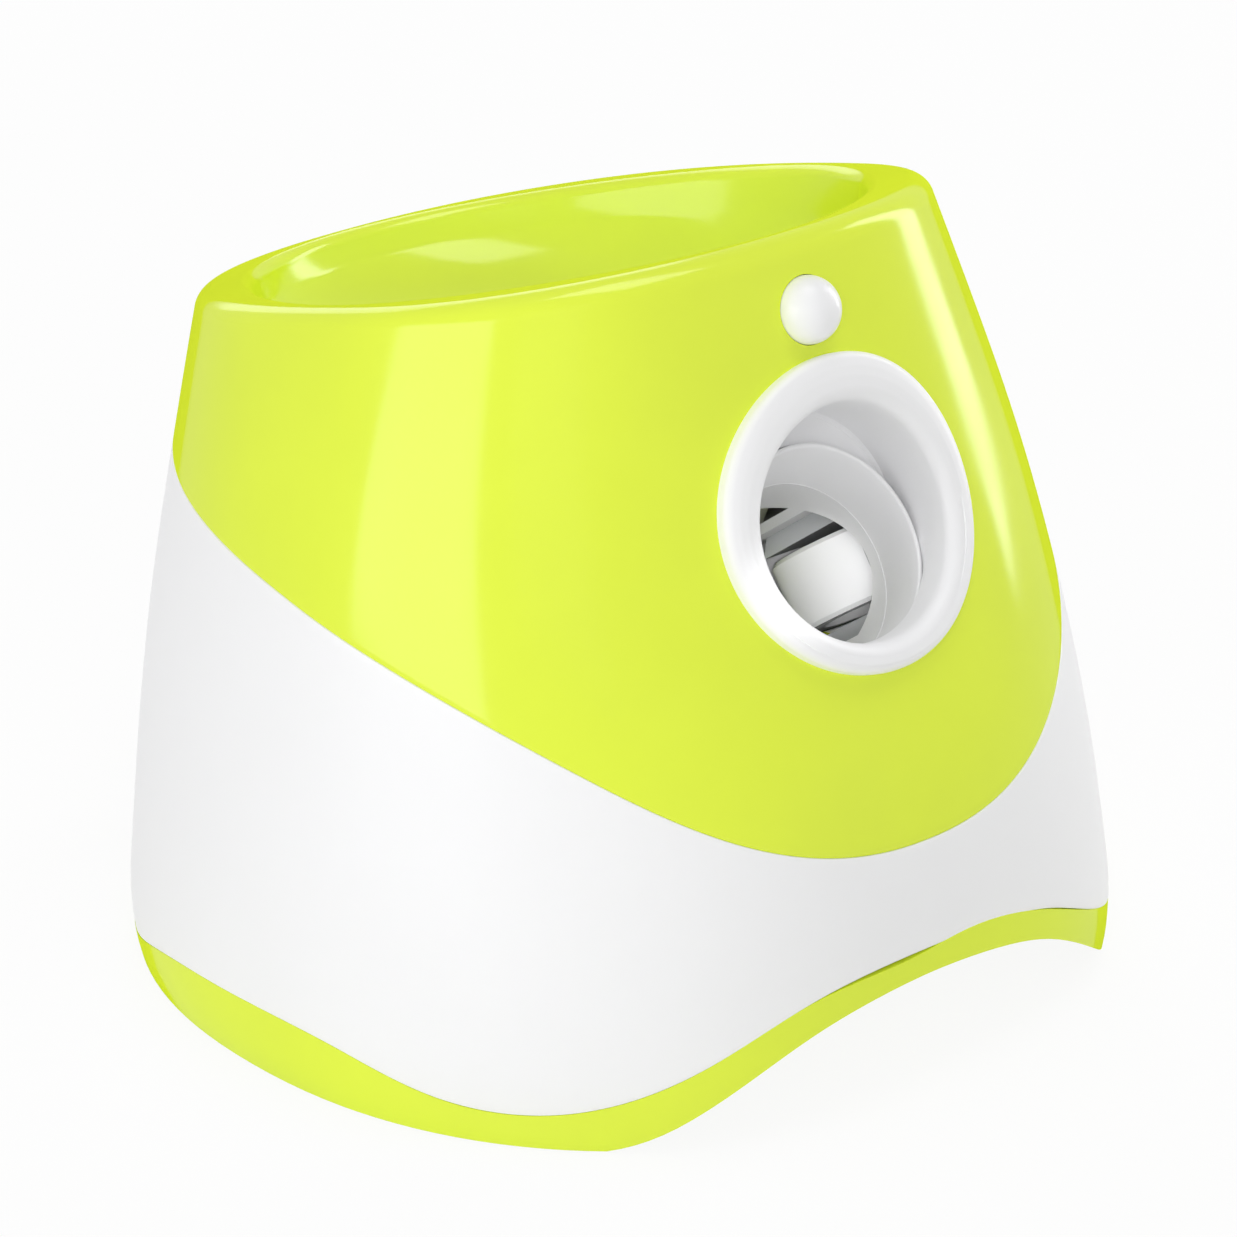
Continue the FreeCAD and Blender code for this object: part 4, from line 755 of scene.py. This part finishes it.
MUZZLE_CENTRE = Vector((0, -98.7, 161.4))
MUZZLE_LEAN = math.radians(22.67)
MUZZLE_OUT = Vector((0, -math.cos(MUZZLE_LEAN), math.sin(MUZZLE_LEAN)))
MUZZLE_UP = Vector((0, math.sin(MUZZLE_LEAN), math.cos(MUZZLE_LEAN)))
BEZEL_RADIUS = 44.6
BEZEL_ROUND = 2.6
THROAT_RADIUS = 33.4
THROAT_DROP = 2.5
THROAT_DEPTH = 26.0
THROAT_ROUND = 4.8
RING_SINK = 0.4  # how far the ring's outer edge reaches into the wall
RING_CROWN = 0.35  # how much the ring's face bulges
THROAT_CHAMFER = 1.0
SLEEVE_HOLE = 4.0  # radius of the first opening in the throat's back wall, which the sleeve's hole widens
LENS_HEIGHT = 215.6
LENS_RADIUS = 9.6
LENS_DOME = 9.0
LENS_WALL = 1.2
LENS_SEAT = 2.5
LENS_CLEAR = 0.2

# The launch direction and the nozzle: radii at its lip and back, in millimetres.
LAUNCH_ORIGIN = Vector((0, -91.7006, 145.2636))
LAUNCH_ANGLE = math.radians(36.0)
LAUNCH_OUT = Vector((0, -math.cos(LAUNCH_ANGLE), math.sin(LAUNCH_ANGLE)))
LAUNCH_UP = Vector((0, math.sin(LAUNCH_ANGLE), math.cos(LAUNCH_ANGLE)))
NOZZLE_LIP = 29.6
NOZZLE_LIP_WALL = 1.6
NOZZLE_RISE = 3.6
NOZZLE_LENGTH = 15.5
NOZZLE_BACK = 27.65
NOZZLE_FLARE = 1.3  # above 1 the flare opens faster towards the lip
TUBE_OUTSIDE = 30.0
SLIDE_GAP = 0.2
SLEEVE_OUTSIDE = 31.8
SLEEVE_OVERLAP = 6.0
SLEEVE_STEP = 2.0


def rounded_block(name, near, far, steps=10):
    """A cutting tool with the rear panel's rounded outline, between two distances to the back."""
    outline = []
    for sign_x, sign_z, start in ((1, 1, 0), (-1, 1, 90), (-1, -1, 180), (1, -1, 270)):
        for step in range(steps + 1):
            turn = math.radians(start + 90 * step / steps)
            middle_x = sign_x * (PANEL_WIDTH / 2 - PANEL_CORNER)
            middle_z = PANEL_HEIGHT + sign_z * (PANEL_TALL / 2 - PANEL_CORNER)
            outline.append((middle_x + PANEL_CORNER * math.cos(turn),
                            middle_z + PANEL_CORNER * math.sin(turn)))
    near_outline, far_outline = ([(x, reach, z) for x, z in outline] for reach in (near, far))
    return prism(name, near_outline, far_outline, Matrix.Identity(4))


def tilted(up, out):
    """The turn that takes Y to an upward direction and Z to an outward one."""
    return Matrix((ACROSS, up, out)).transposed().to_4x4()


def muzzle_rod(name, radius, low, high):
    centre = MUZZLE_CENTRE - MUZZLE_UP * THROAT_DROP
    return rod(name, radius, low, high, centre, tilted(MUZZLE_UP, MUZZLE_OUT), sides=160)


def front_reach(height):
    return -float(station_curve(np.array(height))[..., 1])


def sensor_place():
    """The sensor's centre on the wall, its upward direction and its outward one."""
    lean = math.atan2(front_reach(LENS_HEIGHT + 4) - front_reach(LENS_HEIGHT - 4), 8)
    centre = Vector((0, front_reach(LENS_HEIGHT), LENS_HEIGHT))
    return centre, Vector((0, math.sin(lean), math.cos(lean))), Vector((0, -math.cos(lean), math.sin(lean)))


def sensor_rod(name, radius, low, high):
    centre, up, out = sensor_place()
    return rod(name, radius, low, high, centre, tilted(up, out), sides=96)


class LAUNCHER_OT_sensor_dome(Operator):
    """Makes the frosted dome over the sensor, a thin shell that stands out of the upper housing"""
    bl_idname = "launcher.sensor_dome"
    bl_label = "Sensor dome"

    def execute(self, context):
        centre, up, out = sensor_place()
        angle = even_angles(128)
        tip = 0.01  # the rows end in a point this wide
        profile = [(LENS_RADIUS, -LENS_SEAT)]
        inner = [(LENS_RADIUS - LENS_WALL, -LENS_SEAT)]
        for turn in quarter_turns(24):
            profile.append((max(tip, LENS_RADIUS * math.cos(turn)), LENS_DOME * math.sin(turn)))
            inner.append((max(tip, (LENS_RADIUS - LENS_WALL) * math.cos(turn)),
                          (LENS_DOME - LENS_WALL) * math.sin(turn)))
        rows = [hoop(angle, radius, centre + out * rise, up) for radius, rise in profile + inner[::-1]]
        piece = new_object("sensor_dome", grid_mesh("sensor_dome", np.stack(rows, 1)))
        soften(piece, DOME_EDGE_ANGLE)
        finished(piece, "housing", "lens_plastic", "sensor_lens")
        return {"FINISHED"}


class LAUNCHER_OT_muzzle_ring(Operator):
    """Makes the white muzzle ring that follows the housing, with its throat"""
    bl_idname = "launcher.muzzle_ring"
    bl_label = "Muzzle ring"

    def execute(self, context):
        stand = context.scene.launcher_form.bezel_stand / MM
        angle = even_angles(240)
        direction = np.stack([np.sin(angle), np.cos(angle)], -1)
        inner = THROAT_RADIUS * direction + np.array([0.0, -THROAT_DROP])
        outer = BEZEL_RADIUS * direction

        def lifted(flat, lift):
            """Points over the ring's flat outline, at a lift above the housing's form."""
            base = at_depth(flat, 0)
            return base + (skin_reach(base) + lift)[:, None] * np.array(MUZZLE_OUT)

        def at_depth(flat, depth):
            """Points over the ring's flat outline, at a depth behind the muzzle's centre."""
            middle = np.array(MUZZLE_CENTRE - MUZZLE_OUT * depth)
            return middle + flat[:, :1] * ACROSS + flat[:, 1:] * np.array(MUZZLE_UP)

        width = BEZEL_RADIUS - THROAT_RADIUS
        rows = [lifted(outer, -RING_SINK)]
        for turn in quarter_turns(6):
            flat = outer - direction * BEZEL_ROUND * (1 - math.cos(turn))
            rows.append(lifted(flat, stand - BEZEL_ROUND * (1 - math.sin(turn))))
        for share in np.linspace(1 - BEZEL_ROUND / width, THROAT_ROUND / width, 8)[1:-1]:
            crown = RING_CROWN * math.sin(math.pi * share)
            rows.append(lifted(inner + (outer - inner) * share, stand + crown))
        for turn in quarter_turns(10):
            flat = inner + direction * THROAT_ROUND * (1 - math.sin(turn))
            rows.append(lifted(flat, stand - THROAT_ROUND * (1 - math.cos(turn))))
        hole = np.array([0.0, -THROAT_DROP]) + direction * SLEEVE_HOLE
        start, foot = rows[-1], at_depth(inner, THROAT_DEPTH - WALL - THROAT_CHAMFER)
        rows += [start + (foot - start) * share for share in (0.25, 0.5, 0.75, 1.0)]
        rows.append(at_depth(inner - direction * THROAT_CHAMFER, THROAT_DEPTH - WALL))
        rows.append(at_depth(hole, THROAT_DEPTH - WALL))
        rows.append(at_depth(hole, THROAT_DEPTH))
        collar = inner + direction * WALL
        rows.append(at_depth(collar, THROAT_DEPTH))
        rows.append(lifted(collar, -RING_SINK))
        piece = new_object("muzzle_ring", grid_mesh("muzzle_ring", np.stack(rows, 1)))
        lip_outside = NOZZLE_LIP + NOZZLE_LIP_WALL
        carve(piece, [launch_rod("lip_hole", lip_outside + CUT_CLEAR, low=-59, high=1, rise=NOZZLE_RISE),
                      launch_rod("sleeve_hole", SLEEVE_OUTSIDE + CUT_CLEAR, low=-72.5, high=-12.5)])
        soften(piece, RING_EDGE_ANGLE)
        finished(piece, "housing", "white_plastic", "muzzle_bezel")
        return {"FINISHED"}


class LAUNCHER_OT_nozzle(Operator):
    """Makes the white nozzle: one flare from the launch tube to a thin rounded lip"""
    bl_idname = "launcher.nozzle"
    bl_label = "Nozzle"

    def execute(self, context):
        angle = even_angles(160)
        lip, outer = NOZZLE_LIP, NOZZLE_LIP + NOZZLE_LIP_WALL
        sleeve_inside = TUBE_OUTSIDE + SLIDE_GAP
        sleeve_end, step_depth = NOZZLE_LENGTH + SLEEVE_OVERLAP, NOZZLE_LENGTH - SLEEVE_STEP
        flare_depth = step_depth - SLIDE_GAP
        profile = [(sleeve_inside, sleeve_end), (SLEEVE_OUTSIDE, sleeve_end),
                   (SLEEVE_OUTSIDE, step_depth), (sleeve_inside, flare_depth)]
        profile += [(sleeve_inside + (outer - sleeve_inside) * share, flare_depth * (1 - share))
                    for share in (0.3, 0.6, 0.85)]
        half = NOZZLE_LIP_WALL / 2
        for step in range(9):
            turn = math.pi * step / 8
            profile.append((lip + half + half * math.cos(turn), half - half * math.sin(turn)))
        profile += [(NOZZLE_BACK + (lip - NOZZLE_BACK) * (1 - share) ** NOZZLE_FLARE, NOZZLE_LENGTH * share)
                    for share in (0.12, 0.25, 0.4, 0.55, 0.7, 0.85, 1.0)]
        profile.append((sleeve_inside, NOZZLE_LENGTH))
        rows = []
        for radius, depth in profile:
            rise = NOZZLE_RISE * max(0.0, 1 - depth / NOZZLE_LENGTH)
            rows.append(hoop(angle, radius, LAUNCH_ORIGIN - LAUNCH_OUT * depth + LAUNCH_UP * rise, LAUNCH_UP))
        piece = new_object("nozzle", grid_mesh("nozzle", np.stack(rows, 1)))
        soften(piece, RING_EDGE_ANGLE)
        finished(piece, "housing", "white_plastic", "launch_nozzle")
        return {"FINISHED"}


def launch_rod(name, radius, low, high, rise=0.0):
    centre = LAUNCH_ORIGIN + LAUNCH_UP * rise
    return rod(name, radius, low, high, centre, tilted(LAUNCH_UP, LAUNCH_OUT), sides=160)


def skin_reach(base):
    """How far along the muzzle's axis the housing's form lies from each point."""
    low, high = np.full(len(base), -60.0), np.full(len(base), 60.0)
    out = np.array(MUZZLE_OUT)
    for _ in range(40):
        middle = 0.5 * (low + high)
        inside = housing_level(base + middle[:, None] * out) < 1
        low, high = np.where(inside, middle, low), np.where(inside, high, middle)
    return 0.5 * (low + high)


class LAUNCHER_OT_construction(Operator):
    """Gives every construction node its own finish"""
    bl_idname = "launcher.construction"
    bl_label = "Inner and rear pieces"

    def execute(self, context):
        MADE.clear()
        for name, node in frame["nodes"].items():
            node.data.materials.clear()
            node.data.materials.append(made_finish(slot_of(name)))
            soften(node)
        return {"FINISHED"}


# --- studio --------------------------------------------------------------------------------------

class LAUNCHER_OT_studio(Operator):
    """Sets the camera, the pale floor and the soft lights"""
    bl_idname = "launcher.studio"
    bl_label = "Studio"

    def execute(self, context):
        studio = context.scene.launcher_studio
        context.scene.view_settings.view_transform = "Standard"
        set_camera(context.scene, studio)
        set_world(context.scene, studio)
        set_floor()
        for row in SOFTBOXES:
            add_softbox(*row)
        add_snoot(context.scene.camera.location)
        return {"FINISHED"}


# Name, place, aim, width, height in metres, power in watts, and whether polished faces show it.
SOFTBOXES = [
    ("left_softbox", (-1.9, 0.0, 0.5), (0, 0, 0.15), 1.6, 1.0, 10.5, True),
    ("right_softbox", (1.8, -0.2, 0.55), (0, 0, 0.15), 0.42, 1.8, 13, True),
    ("top_softbox", (0.1, -0.3, 1.9), (0, 0, 0.1), 0.8, 1.0, 7.5, True),
    ("front_softbox", (-1.0, -1.12, 0.8), (0, 0, 0.13), 0.7, 0.7, 6, False),
    ("rear_softbox", (0.7, 1.75, 0.9), (0, 0, 0.12), 1.2, 1.2, 9, True),
]

SNOOT_AIM = Vector((-0.0125, -0.0984, 0.1451))
SNOOT_DISTANCE = 1.2
SNOOT_CONE = math.radians(1.8)
SNOOT_POWER = 30.0

FLOOR_REACH = 12.0  # half the floor's width, in metres
FLOOR_PAINT = (0.9, 0.9, 0.9, 1)
FLOOR_GLOW = 0.92  # share of plain white that the camera and mirrors see in the floor


def set_camera(scene, studio):
    camera = bpy.data.objects.new("camera", bpy.data.cameras.new("camera"))
    scene.collection.objects.link(camera)
    level = math.cos(studio.elevation)
    back = Vector((math.sin(studio.azimuth) * level, -math.cos(studio.azimuth) * level,
                   math.sin(studio.elevation)))
    camera.location = Vector(studio.target) + back * studio.distance
    camera.rotation_euler = (math.pi / 2 - studio.elevation, 0, studio.azimuth)
    camera.data.lens = studio.lens
    camera.data.sensor_width = 36.0
    camera.data.shift_x, camera.data.shift_y = studio.shift
    camera.data.clip_end = 50
    scene.camera = camera


def arithmetic(tree, operation, first, second):
    """A node that works on two values, each another node's output or a number."""
    node = tree.nodes.new("ShaderNodeMath")
    node.operation = operation
    for entry, value in enumerate((first, second)):
        if isinstance(value, float):
            node.inputs[entry].default_value = value
        else:
            tree.links.new(value, node.inputs[entry])
    return node.outputs[0]


def seen_directly(tree):
    """One where the camera, a mirror or clear plastic sees the surface; zero for diffuse light."""
    path = tree.nodes.new("ShaderNodeLightPath").outputs
    mirrored = arithmetic(tree, "MAXIMUM", path["Is Camera Ray"], path["Is Glossy Ray"])
    return arithmetic(tree, "MAXIMUM", mirrored, path["Is Transmission Ray"])


def two_faced(owner, output_kind, plain_kind, direct_kind, direct_share=1.0):
    """Gives a world or material one shader for diffuse light and a white one for what sees it directly."""
    owner.use_nodes = True
    tree = owner.node_tree
    tree.nodes.clear()
    plain, direct = tree.nodes.new(plain_kind), tree.nodes.new(direct_kind)
    direct.inputs["Color"].default_value = (1, 1, 1, 1)
    direct.inputs["Strength"].default_value = 1.0
    mix = tree.nodes.new("ShaderNodeMixShader")
    share = arithmetic(tree, "MULTIPLY", seen_directly(tree), direct_share)
    for entry, source in enumerate((share, plain.outputs[0], direct.outputs[0])):
        tree.links.new(source, mix.inputs[entry])
    tree.links.new(mix.outputs["Shader"], tree.nodes.new(output_kind).inputs["Surface"])
    return plain


def set_world(scene, studio):
    scene.world = bpy.data.worlds.new("studio")
    around = two_faced(scene.world, "ShaderNodeOutputWorld", "ShaderNodeBackground", "ShaderNodeBackground")
    around.inputs["Color"].default_value = (1, 1, 1, 1)
    around.inputs["Strength"].default_value = studio.fill


def set_floor():
    mesh = bpy.data.meshes.new("floor")
    corners = [(x * FLOOR_REACH, y * FLOOR_REACH, 0) for x, y in ((-1, -1), (1, -1), (1, 1), (-1, 1))]
    mesh.from_pydata(corners, [], [(0, 1, 2, 3)])
    floor = new_object("floor", mesh)
    material = bpy.data.materials.new("pale_floor")
    paint = two_faced(material, "ShaderNodeOutputMaterial", "ShaderNodeBsdfDiffuse", "ShaderNodeEmission",
                      FLOOR_GLOW)
    paint.inputs["Color"].default_value = FLOOR_PAINT
    mesh.materials.append(material)


def add_softbox(name, spot, aim, width, height, power, seen_in_gloss):
    light = bpy.data.lights.new(name, "AREA")
    light.shape = "RECTANGLE"
    light.size, light.size_y = width, height
    light.energy = power
    hang_lamp(name, light, Vector(spot), Vector(aim), seen_in_gloss)


def add_snoot(camera_place):
    """A narrow spot from the camera's side that lights the launch tube through the muzzle."""
    light = bpy.data.lights.new("muzzle_snoot", "SPOT")
    light.energy = SNOOT_POWER
    light.spot_size = SNOOT_CONE
    light.spot_blend = 0.5
    light.shadow_soft_size = 0.005
    spot = SNOOT_AIM + (camera_place - SNOOT_AIM).normalized() * SNOOT_DISTANCE
    hang_lamp("muzzle_snoot", light, spot, SNOOT_AIM, False)


def hang_lamp(name, light, spot, aim, seen_in_gloss):
    lamp = bpy.data.objects.new(name, light)
    bpy.context.scene.collection.objects.link(lamp)
    lamp.location = spot
    lamp.visible_glossy = seen_in_gloss
    lamp.rotation_euler = (aim - spot).to_track_quat("-Z", "Y").to_euler()


# --- panel and registration ----------------------------------------------------------------------

OPERATORS = (LAUNCHER_OT_construction, LAUNCHER_OT_upper_housing, LAUNCHER_OT_body_housing,
             LAUNCHER_OT_muzzle_ring, LAUNCHER_OT_nozzle, LAUNCHER_OT_sensor_dome, LAUNCHER_OT_studio)
SETTINGS = {"launcher_form": LauncherForm, "launcher_finish": LauncherFinish,
            "launcher_studio": LauncherStudio}


class LAUNCHER_PT_panel(Panel):
    """Lists the launcher's settings and operators"""
    bl_idname = "LAUNCHER_PT_panel"
    bl_label = "Ball launcher"
    bl_space_type = "VIEW_3D"
    bl_region_type = "UI"
    bl_category = "Launcher"

    def draw(self, context):
        for name, settings in SETTINGS.items():
            box = self.layout.box()
            for setting in settings.__annotations__:
                box.prop(getattr(context.scene, name), setting)
        for operator in OPERATORS:
            self.layout.operator(operator.bl_idname)


CLASSES = (*SETTINGS.values(), *OPERATORS, LAUNCHER_PT_panel)


def register():
    for kind in CLASSES:
        bpy.utils.register_class(kind)
    for name, settings in SETTINGS.items():
        setattr(bpy.types.Scene, name, PointerProperty(type=settings))


def unregister():
    for name in SETTINGS:
        delattr(bpy.types.Scene, name)
    for kind in reversed(CLASSES):
        bpy.utils.unregister_class(kind)


def main():
    register()
    bpy.ops.launcher.construction()
    bpy.ops.launcher.upper_housing()
    bpy.ops.launcher.body_housing()
    bpy.ops.launcher.muzzle_ring()
    bpy.ops.launcher.nozzle()
    bpy.ops.launcher.sensor_dome()
    bpy.ops.launcher.studio()
    bpy.context.view_layer.update()


if __name__ == "__main__":
    main()
